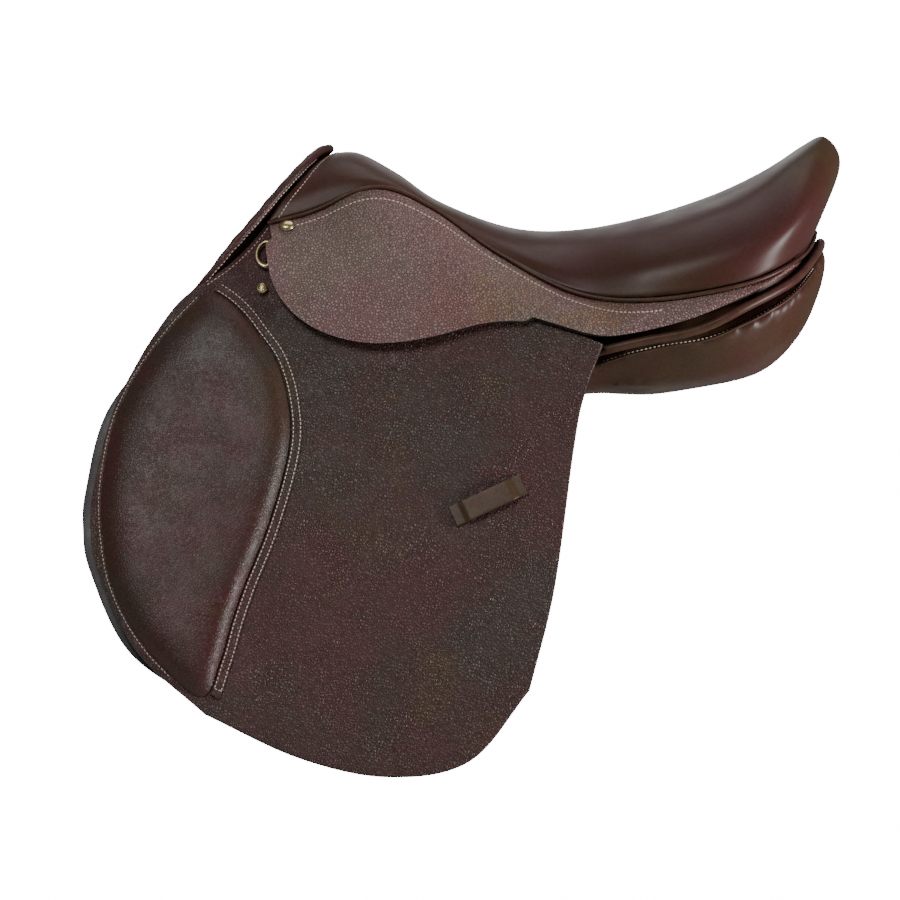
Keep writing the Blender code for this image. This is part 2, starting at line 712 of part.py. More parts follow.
def panel_ring(station, count):
    """One closed section of the panel: the side against the tree, then the full bearing side."""
    x, inner, middle, outer, depth = station
    spine = near_side([(x, y, z) for y, z in (inner, middle, outer)])
    near, far = [], []
    for s in steps(count, 0.0, 1.0):
        place = along(spine, s)
        ahead = (along(spine, min(s + 0.02, 1)) - along(spine, max(s - 0.02, 0))).normalized()
        into = Vector((0, -ahead.z, ahead.y))
        if into.z > 0 or into.y < 0:
            into = -into
        full = max(math.sin(math.pi * (0.02 + 0.96 * s)), 0) ** 0.38
        near.append(place)
        far.append(place + into * depth * full)
    return near + far[::-1]


def make_panels():
    tracks = (
        [Vector((x, *inner)) for x, inner, middle, outer, depth in PANEL_STATIONS],
        [Vector((depth, *middle)) for x, inner, middle, outer, depth in PANEL_STATIONS],
        [Vector((0, *outer)) for x, inner, middle, outer, depth in PANEL_STATIONS],
    )
    rings = []
    for t in steps(2 * (len(PANEL_STATIONS) - 1)):
        a, b, c = (along(track, t) for track in tracks)
        rings.append(panel_ring((a.x, (a.y, a.z), (b.y, b.z), (c.y, c.z), b.x), 7))
    points = [p for ring in rings for p in ring]
    mirrored(body("left_panel", points, capped(len(rings), len(rings[0])), LEATHER_SMOOTH))


def make_sweat_flaps():
    loop = joined(run(SWEAT_FLAP_FRONT, 2), run(SWEAT_FLAP_BOTTOM, 2), run(SWEAT_FLAP_REAR, 2),
                  [SWEAT_FLAP_REAR[-1], SWEAT_FLAP_FRONT[0]])
    mirrored(sheet("left_sweat_flap", loop, behind_flap(SWEAT_FLAP_BEHIND_FLAP),
                   behind_flap(SWEAT_FLAP_BEHIND_FLAP + SWEAT_FLAP_LEATHER), (90, 60), LEATHER_BLACK))


def flap_axis():
    """A point on the near flap's hinge axis, outside the flap's face at its fold."""
    return (0, -(FLAP_FOLD_HALF_WIDTH + FLAP_AXIS_STANDOFF), FLAP_FOLD_Z)


def make_flaps():
    fold = [Vector(FLAP_TOP_FRONT[-1]), Vector(FLAP_TOP_BACK[0])]
    loop = joined(run(FLAP_TOP_FRONT, 2), fold, run(FLAP_TOP_BACK, 2))
    fixed = sheet("left_flap_top", loop, behind_flap(0), behind_flap(FLAP_LEATHER), (90, 14), LEATHER_GRAIN)
    cut(fixed, cutter("flap_window", *window_box(-30, 30)))
    mirrored(fixed)
    loop = joined(run(FLAP_FRONT, 2), run(FLAP_BOTTOM, 3), run(FLAP_REAR, 2), [FLAP_REAR[-1], FLAP_FRONT[0]])
    mirrored(sheet("left_flap", loop, behind_flap(0), behind_flap(FLAP_LEATHER), (70, 55), LEATHER_GRAIN,
                   origin=flap_axis()))


def window_box(low, high):
    """A box round the stirrup bar, between two heights off the bar's seat, in the bar's own frame."""
    frame = side_frame(BAR_X, BAR_Z, TREE_BEHIND_FLAP + BAR_POCKET_DEPTH)
    half = BAR_LENGTH / 2
    margin = BAR_POCKET_MARGIN
    rear = half + CATCH_LENGTH
    reach_down = BAR_PLATE_HEIGHT / 2
    reach_up = CATCH_LENGTH
    points, faces = box((-half - margin, -reach_down - margin, low), (rear, reach_up + margin, high))
    return [frame @ Vector(p) for p in points], faces


def make_bars(tree):
    frame = side_frame(BAR_X, BAR_Z, TREE_BEHIND_FLAP + BAR_POCKET_DEPTH)
    pocket = window_box(0, 40)
    cut(tree, cutter("left_bar_pocket", *pocket))
    cut(tree, cutter("right_bar_pocket", [(p[0], -p[1], p[2]) for p in pocket[0]], pocket[1]))

    half = BAR_LENGTH / 2
    foot = GAP
    top = foot + BAR_PLATE_THICKNESS
    under = top + BAR_LEATHER_GAP
    over = under + BAR_THICKNESS
    arm = -half + BAR_FRONT_ARM
    tall = BAR_HEIGHT / 2
    wide = BAR_PLATE_HEIGHT / 2
    edge = BAR_EDGE
    tip = half - 2 * CATCH_EYE_RADIUS
    # The bar in plan, as a hook that opens to the rear, swept through its height
    hook = [(-half, foot + edge), (arm, foot + edge), (arm, under), (tip, under), (tip, over),
            (-half + edge, over), (-half, over - edge)]
    rows = [frame @ Vector((x, y, z)) for y in (-tall, tall) for x, z in hook]
    bar = body("left_stirrup_bar", rows, capped(2, len(hook)), STEEL)
    points, faces = box((-half, -wide, foot), (half, wide, top))
    cut(bar, cutter("bar_plate", [frame @ Vector(p) for p in points], faces), "UNION")

    # A tongue at the bar's end holds the pin that the catch turns on
    middle = (under + over) / 2
    eye = CATCH_EYE_RADIUS
    tongue = CATCH_TONGUE / 2
    inside = eye - TONGUE_INSIDE_EYE
    pin_x = tip + eye + 2 * GAP
    points, faces = box((tip - 1, -inside, middle - tongue), (pin_x + inside, inside, middle + tongue))
    cut(bar, cutter("bar_tongue", [frame @ Vector(p) for p in points], faces), "UNION")
    bore = CATCH_PIN_RADIUS + PIN_CLEARANCE
    points = round_bar(frame, pin_x, bore, under, over)
    cut(bar, cutter("tongue_hole", points, capped(2, PIN_SIDES)))
    mirrored(bar)
    points = round_bar(frame, pin_x, CATCH_PIN_RADIUS, under, over)
    mirrored(body("left_catch_pin", points, capped(2, PIN_SIDES), STEEL))

    # The catch is a fork over the tongue with a rounded thumb end
    outline = [(eye * math.cos(a), eye * math.sin(a)) for a in steps(8, math.pi / 2, 1.5 * math.pi)]
    outline += [(CATCH_LENGTH - 4, -eye), (CATCH_LENGTH - 1, -eye + 2), (CATCH_LENGTH, 0),
                (CATCH_LENGTH - 1, eye - 2), (CATCH_LENGTH - 4, eye)]
    pivot = frame @ Vector((pin_x, 0, middle))
    catch_frame = frame @ Matrix.Translation((pin_x, 0, under))
    catch = plate("left_bar_catch", outline, [circle(0, 0, bore, PIN_SIDES)], BAR_THICKNESS, catch_frame,
                  STEEL, pivot)
    slot = tongue + PIN_CLEARANCE
    heart = BAR_THICKNESS / 2
    points, faces = box((-eye - 1, -eye - 1, heart - slot), (eye + 1, eye + 1, heart + slot))
    cut(catch, cutter("catch_slot", [catch_frame @ Vector(p) for p in points], faces))
    mirrored(catch)


def round_bar(frame, x, radius, low, high):
    """Two rings of points round a pin that stands on a frame, from one height to another."""
    return [frame @ Vector((a, b, z)) for z in (low, high) for a, b in circle(x, 0, radius, PIN_SIDES)]


def strap_frame(x):
    """A girth strap's flat plane at x: rearwards, up and outwards, with its origin at the pivot."""
    top_z = STRAP_TOP_Z - STRAP_PIVOT_DROP
    low_z = STRAP_TOP_Z - STRAP_LENGTH
    depth = STRAP_BEHIND_FLAP + STRAP_LEATHER
    top = Vector((x, -flap_face(x, top_z) + depth, top_z))
    low = Vector((x, -flap_face(x, low_z) + depth, low_z))
    middle = (top_z + low_z) / 2
    back = Vector((1, flap_face(x, middle) - flap_face(x + 1, middle), 0)).normalized()
    up = (top - low).normalized()
    out = back.cross(up).normalized()
    back = up.cross(out).normalized()
    frame = Matrix((back, up, out)).transposed().to_4x4()
    frame.translation = top
    return frame


def make_straps():
    half = STRAP_WIDTH / 2
    for i, name in enumerate(("front", "middle", "rear")):
        frame = strap_frame(STRAP_FRONT_X + i * STRAP_SPACING)
        low = STRAP_PIVOT_DROP - STRAP_LENGTH
        tip = half * STRAP_TIP_SHARE
        outline = [(-half, STRAP_PIVOT_DROP), (-half, low + STRAP_POINT), (-tip, low + STRAP_TIP), (0, low),
                   (tip, low + STRAP_TIP), (half, low + STRAP_POINT), (half, STRAP_PIVOT_DROP)]
        heights = [low + STRAP_LAST_HOLE + STRAP_HOLE_SPACING * k for k in range(STRAP_HOLES)]
        holes = [circle(0, z, STRAP_HOLE_RADIUS, 8) for z in heights]
        mirrored(plate(f"left_{name}_girth_strap", outline, holes, STRAP_LEATHER, frame, LEATHER_TAN,
                       frame.translation))


def behind_flap_web(lift):
    """The strap webs lie on the tree's side, then step inwards below its edge to meet the straps."""
    on_tree = FLAP_LEATHER + WEB_BEHIND_FLAP
    at_strap = STRAP_BEHIND_FLAP - WEB_CLOTH - WEB_STRAP_CLEARANCE

    def half_width(x, z):
        below = min(1, max(0, (WEB_STEP_Z - z) / WEB_STEP_HEIGHT))
        return flap_face(x, z) - on_tree - (at_strap - on_tree) * below - lift

    return half_width


def make_strap_webs():
    """The webs that the straps are sewn to: the front strap on one, and the other two on the second."""
    foot = STRAP_TOP_Z - STRAP_PIVOT_DROP
    half = STRAP_WIDTH / 2
    first = STRAP_FRONT_X
    second, third = first + STRAP_SPACING, first + 2 * STRAP_SPACING
    webs = (("front", first, first, WEB_FRONT_TOP), ("rear", second, third, WEB_REAR_TOP))
    for name, front, rear, top in webs:
        loop = [(front - half, foot), (rear + half, foot), (rear + half, WEB_STEP_Z)]
        loop += [(first + back, z) for back, z in top] + [(front - half, WEB_STEP_Z)]
        mirrored(sheet(f"left_{name}_strap_web", [Vector(p) for p in loop], behind_flap_web(0),
                       behind_flap_web(WEB_CLOTH), (80, 10), WEBBING))


def make_guards():
    """The buckle guard: a plate outside the straps and a band behind them, joined by posts between them."""
    frame = strap_frame(STRAP_FRONT_X + STRAP_SPACING)
    half = STRAP_WIDTH / 2
    clear = GUARD_SIDE_CLEARANCE
    reach = STRAP_SPACING + half + GUARD_OVERHANG
    middle_x = STRAP_FRONT_X + STRAP_SPACING
    front, rear = middle_x - reach, middle_x + reach
    corner = GUARD_CORNER
    top, low = GUARD_TOP_Z, GUARD_TOP_Z - GUARD_HEIGHT
    loop = [(front, top - corner), (front, low + corner), (front + corner, low), (rear - corner, low),
            (rear, low + corner), (rear, top - corner), (rear - corner, top), (front + corner, top)]
    guard = sheet("left_buckle_guard", [Vector(p) for p in loop], behind_flap(GUARD_BEHIND_FLAP),
                  behind_flap(GUARD_BEHIND_FLAP + GUARD_LEATHER), (60, 60), LEATHER_TAN,
                  origin=frame.translation)

    def strip(name, low_x, high_x, outside, inside):
        """A part of the guard behind its plate, between two places along it and two depths."""
        band_low, band_top = low + GUARD_BAND_INSET, top - GUARD_BAND_INSET
        ends = [(low_x, band_low), (high_x, band_low), (high_x, band_top), (low_x, band_top)]
        return sheet(name, [Vector((middle_x + x, z)) for x, z in ends], behind_flap(outside),
                     behind_flap(inside), (60, 60), LEATHER_TAN, home=CUTTERS)

    band = GUARD_BAND_BEHIND_FLAP
    joins = [strip("guard_band", -reach, reach, band, band + GUARD_BAND)]
    edge_posts = GUARD_OVERHANG - clear
    spans = [(-reach, -reach + edge_posts), (-STRAP_SPACING + half + clear, -half - clear),
             (half + clear, STRAP_SPACING - half - clear), (reach - edge_posts, reach)]
    for i, (low_x, high_x) in enumerate(spans):
        plate_heart = GUARD_BEHIND_FLAP + GUARD_LEATHER / 2
        joins.append(strip(f"guard_post_{i}", low_x, high_x, plate_heart, band + GUARD_BAND / 2))
    for piece in joins:
        piece.hide_render = True
        piece.display_type = "WIRE"
        cut(guard, piece, "UNION")
    mirrored(guard)


def make_knee_pads():
    """A crowned pad on the flap. It is two pieces, above and below the flap's fold."""
    loop = [along(KNEE_PAD + KNEE_PAD[:1], t) for t in steps(32)[:-1]]
    centre = sum((Vector(p) for p in KNEE_PAD), Vector((0, 0))) / len(KNEE_PAD)
    rings = ((1.0, 0.0), (0.985, 0.3), (0.92, 0.56), (0.72, 0.86), (0.4, 1.0))
    places = [(centre.lerp(p, size), height) for size, height in rings for p in loop] + [(centre, 1.0)]
    feet = [Vector((p.x, -flap_face(p.x, p.y) - PAD_SEAT, p.y)) for p, h in places]
    rims = [PAD_RIM + KNEE_PAD_CROWN * h for p, h in places]
    tops = [foot - Vector((0, rise, 0)) for foot, rise in zip(feet, rims)]
    faces = ring_faces(len(rings), len(loop)) + fan(len(rings) - 1, len(loop))
    for name, part, place in (("left_knee_pad_top", 1, (0, 0, 0)), ("left_knee_pad", -1, flap_axis())):
        pad = between(name, tops, feet, faces, LEATHER_SMOOTH, origin=place)
        bm = bmesh.new()
        bm.from_mesh(pad.data)
        level = (FLAP_FOLD_Z + (part - 1) * FLAP_SPLIT / 2 - place[2]) * MM
        parts = bm.verts[:] + bm.edges[:] + bm.faces[:]
        bmesh.ops.bisect_plane(bm, geom=parts, plane_co=(0, 0, level), plane_no=(0, 0, part),
                               clear_inner=True, dist=1e-6)
        bmesh.ops.holes_fill(bm, edges=bm.edges[:])
        bmesh.ops.recalc_face_normals(bm, faces=bm.faces[:])
        bm.to_mesh(pad.data)
        bm.free()
        mirrored(pad)
    edge = [along(KNEE_PAD, t) for t in steps(14, 0.155, 0.525)]
    outer_edge = []
    for i, p in enumerate(edge):
        ahead = edge[min(i + 1, len(edge) - 1)] - edge[max(i - 1, 0)]
        outer_edge.append(p + Vector((-ahead.y, ahead.x)).normalized() * KNEE_EDGING_WIDTH)
    near = [p + (q - p).normalized() * EDGING_CLEARANCE for p, q in zip(edge, outer_edge)]
    mirrored(sheet("left_knee_edging", near + outer_edge[::-1], behind_flap(-GAP - KNEE_EDGING_LEATHER),
                   behind_flap(-GAP), (300, 60), LEATHER_GRAIN, origin=flap_axis()))


def make_keepers():
    """A short leather loop for the stirrup leather's end, sewn down at its two ends."""
    def spot(t, r, lift):
        s = (t - 0.5) * KEEPER_LENGTH
        w = (r - 0.5) * KEEPER_WIDTH
        x = KEEPER_CENTRE[0] + s * math.cos(KEEPER_TILT) - w * math.sin(KEEPER_TILT)
        z = KEEPER_CENTRE[1] + s * math.sin(KEEPER_TILT) + w * math.cos(KEEPER_TILT)
        held = min(1, max(0, (min(t, 1 - t) - 0.11) / 0.1))
        rise = KEEPER_RISE * held * held * (3 - 2 * held)
        return Vector((x, -flap_face(x, z) - GAP - rise - lift, z))

    mirrored(slab("left_keeper", steps(14), steps(2), lambda t, r: spot(t, r, KEEPER_LEATHER),
                  lambda t, r: spot(t, r, 0), LEATHER_TAN, origin=flap_axis()))


def make_facing():
    """The facing of the pommel's arch: a stuffed roll along its edge and a flange over the tree's end."""
    path = both_sides(run(near_side(FRONT_ROLL), 3, "first")[::-1])
    heart = Vector(FACING_HEART)
    opening = math.radians(FACING_FLANGE_ANGLE)
    angles = steps(7, opening, math.tau - opening)
    outline = [(FRONT_ROLL_RADIUS * math.cos(a), FRONT_ROLL_RADIUS * math.sin(a)) for a in angles]
    thin = FACING_LEATHER / 2
    outline += [(FACING_REACH, -thin), (FACING_REACH, thin)]
    points = []
    for i, place in enumerate(path):
        ahead = (path[min(i + 1, len(path) - 1)] - path[max(i - 1, 0)]).normalized()
        inwards = heart - place
        inwards = (inwards - ahead * inwards.dot(ahead)).normalized()
        across = ahead.cross(inwards)
        points += [place + inwards * a + across * b for a, b in outline]
    body("front_facing", points, capped(len(path), len(outline)), LEATHER_SMOOTH)


def make_cantle_back():
    """The facing under the cantle, between the seat's seam and the panel welt, round both sides."""
    def spot(t, f, inwards):
        side = 1 if t < 0.5 else -1
        u = 1 - abs(2 * t - 1)
        seam = seam_point(0.8 + 0.2 * u, SEAT_WELT_RADIUS)
        low = along(near_side(PANEL_WELT), 0.6 + 0.4 * u, "last")
        place = seam.lerp(low, f)
        out = Vector((place.x - 90, place.y, 0)).normalized()
        place -= out * (CANTLE_BACK_INSET - CANTLE_BACK_LEAN * f + inwards)
        if u > 0.999:
            place.y = 0
        return Vector((place.x, place.y * side, place.z))

    slab("cantle_back", steps(20), steps(2), lambda t, f: spot(t, f, 0),
         lambda t, f: spot(t, f, CANTLE_BACK_LEATHER), LEATHER_SMOOTH)


def dome(name, place, outwards, radius, height, finish):
    """A domed brass head, turned from a short profile."""
    turn = outwards.to_track_quat("Z", "Y").to_matrix().to_4x4()
    turn.translation = place
    rings = [(1.0, 0.0), (1.0, 0.22), (0.86, 0.62), (0.5, 0.93)]
    count = 14
    points = [turn @ Vector((radius * size * math.cos(a), radius * size * math.sin(a), height * level))
              for size, level in rings for a in steps(count, 0, math.tau)[:-1]]
    points.append(turn @ Vector((0, 0, height)))
    faces = ring_faces(len(rings), count) + fan(len(rings) - 1, count) + [list(range(count - 1, -1, -1))]
    return body(name, points, faces, finish)


def make_nails_and_studs():
    t, f = 0.0605, 0.26
    place = skirt_top_point(t, f)
    ahead = skirt_top_point(t + 0.01, f) - skirt_top_point(t - 0.01, f)
    down = skirt_top_point(t, f + 0.1) - skirt_top_point(t, f - 0.1)
    out = ahead.cross(down).normalized()
    if out.y > 0:
        out = -out
    mirrored(dome("left_pommel_nail", place + out * (GAP + 0.5), out, NAIL_RADIUS, 3.4, BRASS))
    frame = side_frame(STUD_X, STUD_Z, 0)
    out = frame.col[2].to_3d()
    mirrored(dome("left_flap_stud", frame.translation + out * (GAP + 0.1), out, STUD_RADIUS, 4.5, BRASS))


def make_dees():
    frame = side_frame(DEE_X, DEE_Z, 0)
    lift = GAP + 0.2 + CHAPE_LEATHER + PIN_CLEARANCE + DEE_WIRE
    half = DEE_HEIGHT / 2 - DEE_WIRE
    bend = DEE_BEND
    corner = bend * math.sin(math.pi / 4)
    local = [(0, -half + bend), (0, half - bend), (-corner, half - corner), (-bend, half)]
    bow = DEE_DEPTH - bend
    local += [(-bend - bow * math.sin(a), half * math.cos(a)) for a in steps(9, 0, math.pi)[1:]]
    local += [(-corner, -half + bend - corner)]
    path = [frame @ Vector((x, y, lift)) for x, y in local]
    dee = tube("left_dee", path, DEE_WIRE, BRASS, 1, cyclic=True)
    shift_origin(dee, frame @ Vector((0, 0, lift)))
    mirrored(dee)
    eye = DEE_WIRE + PIN_CLEARANCE
    wrap = eye + CHAPE_LEATHER
    outline = [(wrap * math.cos(a), wrap * math.sin(a)) for a in steps(10, math.pi / 3, 1.5 * math.pi)]
    tail = 2 * CHAPE_LEATHER - wrap
    outline += [(CHAPE_TAIL, -wrap), (CHAPE_TAIL, tail), (wrap + CHAPE_LEATHER, tail)]
    # The chape's section lies in the plane of rearwards and outwards, and its width runs up the slope
    swap = Matrix(((1, 0, 0, 0), (0, 0, 1, 0), (0, 1, 0, 0), (0, 0, 0, 1)))
    turned = frame @ Matrix.Translation((0, -CHAPE_WIDTH / 2, lift)) @ swap
    mirrored(plate("left_dee_chape", outline, [circle(0, 0, eye, 10)], CHAPE_WIDTH, turned, LEATHER_TAN,
                   (0, 0, 0)))


def shift_origin(piece, place):
    """Puts a piece's origin at a point in millimetres and leaves its shape where it is."""
    move = Vector(place) * MM - piece.location
    piece.data.transform(Matrix.Translation(-move))
    piece.location = Vector(place) * MM
    bpy.context.view_layer.update()


def print_joints():
    """Prints the axes that the moving pieces turn and slide on, in metres."""
    print("flap fold", Vector(flap_axis()) * MM, Vector((1, -FRONT_TAPER, 0)).normalized())
    width, z = skirt_fold(SKIRT_FRONT_X)
    fold = Vector((1, -SKIRT_FOLD_SPREAD, -SKIRT_FOLD_FALL)).normalized()
    print("skirt fold", Vector((SKIRT_FRONT_X, -width, z)) * MM, fold)
    frames = {f"strap {i}": strap_frame(STRAP_FRONT_X + i * STRAP_SPACING) for i in range(3)}
    frames["bar"] = side_frame(BAR_X, BAR_Z, TREE_BEHIND_FLAP + BAR_POCKET_DEPTH)
    frames["dee"] = side_frame(DEE_X, DEE_Z, 0)
    for name, frame in frames.items():
        back, up, out = (frame.col[i].to_3d() for i in range(3))
        print(name, frame.translation * MM, "back", back, "up", up, "out", out)
    for name in ("left_bar_catch", "left_dee"):
        print(name, bpy.data.objects[name].location)


clear_scene()
SADDLE = collection("saddle")
CUTTERS = collection("cutters")
LEATHER_SMOOTH = material("smooth brown leather", (0.055, 0.027, 0.018), 0.35)
LEATHER_GRAIN = material("grained brown leather", (0.068, 0.038, 0.03), 0.5)
LEATHER_BLACK = material("dark edge leather", (0.02, 0.014, 0.012), 0.5)
LEATHER_TAN = material("strap leather", (0.13, 0.065, 0.03), 0.5)
FOAM = material("seat foam", (0.5, 0.46, 0.36), 0.9)
WOOD = material("laminated wood", (0.45, 0.3, 0.17), 0.6)
STEEL = material("steel", (0.55, 0.55, 0.56), 0.3, 1.0)
WEBBING = material("flax webbing", (0.42, 0.36, 0.27), 0.9)
BRASS = material("brass", (0.75, 0.6, 0.34), 0.25, 1.0)
SEAT = [[(x, widened(y), z) for x, y, z in station] for station in SEAT_STATIONS]
TREE_FLANKS = tree_sides()
TREE_COLUMNS = steps(3, -1, -TREE_TOP)[:-1] + [c * TREE_TOP / FOAM_COLUMNS[-1] for c in FOAM_COLUMNS]
TREE_COLUMNS += [-c for c in TREE_COLUMNS[2::-1]]
SPRING_COLUMN = len(TREE_COLUMNS) // 2 + 3

make_seat()
wooden_tree = make_tree()
make_bars(wooden_tree)
make_tree_fittings()
make_skirts()
make_welts()
make_panels()
make_sweat_flaps()
make_flaps()
make_straps()
make_strap_webs()
make_guards()
make_knee_pads()
make_keepers()
make_facing()
make_cantle_back()
make_nails_and_studs()
make_dees()
print_joints()
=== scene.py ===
# %% [markdown]
# # Dressing an English jumping saddle
# The CAD model gives every piece of this saddle its place and its joints. This lesson lays real-looking
# leather, stitching, brass and wool-stuffed panels over it. A leather sheet starts as a flat grid that is
# laid on a curved surface, as a saddler lays a wet hide on the tree, and then it gets its thickness.

# %% Load the CAD model as the frame
import math

import bpy
import numpy as np
from mathutils import Matrix, Vector
from mathutils.bvhtree import BVHTree


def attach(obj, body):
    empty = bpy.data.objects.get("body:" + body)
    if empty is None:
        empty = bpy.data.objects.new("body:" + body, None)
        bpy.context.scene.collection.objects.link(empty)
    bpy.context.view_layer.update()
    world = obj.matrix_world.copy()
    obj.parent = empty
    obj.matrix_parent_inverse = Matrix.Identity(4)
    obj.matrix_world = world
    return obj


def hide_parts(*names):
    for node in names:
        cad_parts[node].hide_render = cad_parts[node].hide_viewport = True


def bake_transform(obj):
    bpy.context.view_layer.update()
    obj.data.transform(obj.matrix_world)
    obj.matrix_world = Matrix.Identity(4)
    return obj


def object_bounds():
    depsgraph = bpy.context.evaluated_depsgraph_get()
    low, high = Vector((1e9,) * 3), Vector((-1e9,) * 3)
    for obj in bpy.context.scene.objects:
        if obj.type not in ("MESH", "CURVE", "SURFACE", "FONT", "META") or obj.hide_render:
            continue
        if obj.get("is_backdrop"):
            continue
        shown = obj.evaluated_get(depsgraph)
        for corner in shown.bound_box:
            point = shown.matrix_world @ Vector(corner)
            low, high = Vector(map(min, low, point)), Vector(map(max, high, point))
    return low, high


MM = 0.001
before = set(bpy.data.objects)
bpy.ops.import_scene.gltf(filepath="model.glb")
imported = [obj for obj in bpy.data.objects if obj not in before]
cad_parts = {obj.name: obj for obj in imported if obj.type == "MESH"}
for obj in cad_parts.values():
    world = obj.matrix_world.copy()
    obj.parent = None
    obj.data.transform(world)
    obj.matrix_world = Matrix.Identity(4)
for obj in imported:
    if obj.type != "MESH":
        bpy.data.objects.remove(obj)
cad_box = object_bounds()

# %% [markdown]
# ## Camera
# The photograph looks at the near side from straight beside the saddle, from so far away that nothing
# seems to shrink with distance. A long lens six metres off does the same.

# %% Camera at the photograph's angle
VIEW_DISTANCE = 6.0
VIEW_CENTRE = (-0.0823, -0.1254)
VIEW_WIDTH = 0.7056
SENSOR = 36.0


def in_scene(name, data):
    """A new object in the scene, made of a camera's, mesh's, curve's or light's data."""
    made = bpy.data.objects.new(name, data)
    bpy.context.scene.collection.objects.link(made)
    return made


camera_data = bpy.data.cameras.new("side_view")
camera_data.sensor_width = SENSOR
camera_data.lens = SENSOR * VIEW_DISTANCE / VIEW_WIDTH
camera = in_scene("side_view", camera_data)
camera.location = (VIEW_CENTRE[0], -VIEW_DISTANCE, VIEW_CENTRE[1])
camera.rotation_euler = (math.radians(90), 0, 0)
bpy.context.scene.camera = camera
print("lens", round(camera_data.lens, 1), "mm")

# %% [markdown]
# ## Small helpers
# An operator works on everything that is selected, so each helper first selects only its own piece.
# Modifiers are applied at once, which keeps every finished piece a plain mesh.

# %% Helpers for starting, selecting and editing a piece
def start_from(name, add_primitive, **settings):
    """A new primitive, the start of every modelled piece."""
    bpy.ops.object.select_all(action="DESELECT")
    add_primitive(**settings)
    bpy.context.object.name = name
    return bpy.context.object


def select_only(piece):
    if bpy.context.object and bpy.context.object.mode != "OBJECT":
        bpy.ops.object.mode_set(mode="OBJECT")
    bpy.ops.object.select_all(action="DESELECT")
    piece.select_set(True)
    bpy.context.view_layer.objects.active = piece


def edit_all(piece):
    """Opens a piece in edit mode, with all of it selected."""
    select_only(piece)
    bpy.ops.object.mode_set(mode="EDIT")
    bpy.ops.mesh.select_all(action="SELECT")


def leave_edit():
    bpy.ops.object.mode_set(mode="OBJECT")


# %% Helpers for finishing and mirroring a piece
def apply_modifier(piece, kind, **settings):
    select_only(piece)
    change = piece.modifiers.new(kind.lower(), kind)
    for name, value in settings.items():
        setattr(change, name, value)
    bpy.ops.object.modifier_apply(modifier=change.name)


def round_edges(piece, width, sharper_than, segments=2):
    """Rounds the edges where faces meet at more than the angle in degrees."""
    apply_modifier(piece, "BEVEL", width=width * MM, segments=segments, limit_method="ANGLE",
                   angle_limit=math.radians(sharper_than))


def subdivide_smoothly(piece, levels=1):
    apply_modifier(piece, "SUBSURF", levels=levels, render_levels=levels)


def tidy_mesh(piece, merge):
    """Merges points closer than merge millimetres and turns all faces one way."""
    edit_all(piece)
    bpy.ops.mesh.remove_doubles(threshold=merge * MM)
    bpy.ops.mesh.normals_make_consistent(inside=False)
    leave_edit()


def smooth_shading(piece, angle=45):
    select_only(piece)
    bpy.ops.object.shade_smooth_by_angle(angle=math.radians(angle))


def put_on(piece, *finishes):
    piece.data.materials.clear()
    for finish in finishes:
        piece.data.materials.append(finish)


def off_side(piece):
    """The off-side twin of a near-side piece, mirrored in the saddle's middle plane."""
    select_only(piece)
    bpy.ops.object.duplicate()
    twin = bpy.context.object
    twin.name = piece.name.replace("left", "right")
    twin.data.transform(Matrix.Scale(-1, 4, (0, 1, 0)))
    twin.data.flip_normals()
    return twin


def twins(piece):
    """A near-side piece and its new off-side twin, each with the name of its side."""
    return ("left", piece), ("right", off_side(piece))


# %% [markdown]
# ## The saddle's surfaces
# The leather follows the same few curves as the CAD: the seat's stations from pommel to cantle, the
# flap's side face, and the straight fold where the skirt starts to hang. All of them are in millimetres,
# with x to the rear, z up, and half widths measured out from the middle plane.

# %% Smooth curves through a few points
SPAN_STEPS = 12


def mirrored(place):
    """The same place on the saddle's other side."""
    return Vector((place.x, -place.y, place.z))


def cubic(p0, p1, p2, p3, f):
    """A smooth curve's point between p1 and p2, with p0 and p3 as their neighbours."""
    return 0.5 * (
        2 * p1
        + (p2 - p0) * f
        + (2 * p0 - 5 * p1 + 4 * p2 - p3) * f**2
        + (3 * p1 - p0 - 3 * p2 + p3) * f**3
    )


def beyond(end, neighbour, in_middle):
    """The point that continues a curve past its end, straight on or mirrored in the middle plane."""
    return mirrored(neighbour) if in_middle else 2 * end - neighbour


def along(points, t, crosses=""):
    """The point at t, from 0 to 1, on a smooth curve. It is mirrored at the ends that crosses names."""
    places = [Vector(point) for point in points]
    last = len(places) - 1
    span = min(int(t * last), last - 1)
    before = beyond(places[0], places[1], "first" in crosses)
    after = beyond(places[-1], places[-2], "last" in crosses)
    neighbours = [before, *places, after][span:span + 4]
    return cubic(*neighbours, t * last - span)


def steps(count, low=0.0, high=1.0):
    return [low + (high - low) * i / count for i in range(count + 1)]


def evenly(points, count):
    """Points at even distances along a line of points."""
    places = np.array([tuple(p) for p in points], float)
    lengths = np.concatenate([[0], np.cumsum(np.linalg.norm(np.diff(places, axis=0), axis=1))])
    stops = np.linspace(0, lengths[-1], count + 1)
    return [Vector(place) for place in zip(*(np.interp(stops, lengths, column) for column in places.T))]


def length_of(points):
    return sum((b - a).length for a, b in zip(points, points[1:]))


def at(points, t):
    """The point at t, from 0 to 1, on a line of evenly spaced points."""
    place = t * (len(points) - 1)
    span = min(int(place), len(points) - 2)
    return points[span].lerp(points[span + 1], place - span)


def flat(points):
    """Points of an outline seen from the side, as vectors with no third value."""
    return [Vector((x, z, 0)) for x, z in points]


def outline_curve(points, count=60):
    """Evenly spaced points along a smooth outline that is seen from the side."""
    places = flat(points)
    return evenly([along(places, t) for t in steps(SPAN_STEPS * (len(places) - 1))], count)


def gentle(share):
    """A share held between 0 and 1, without a corner where it starts and ends."""
    held = min(1, max(0, share))
    return held * held * (3 - 2 * held)


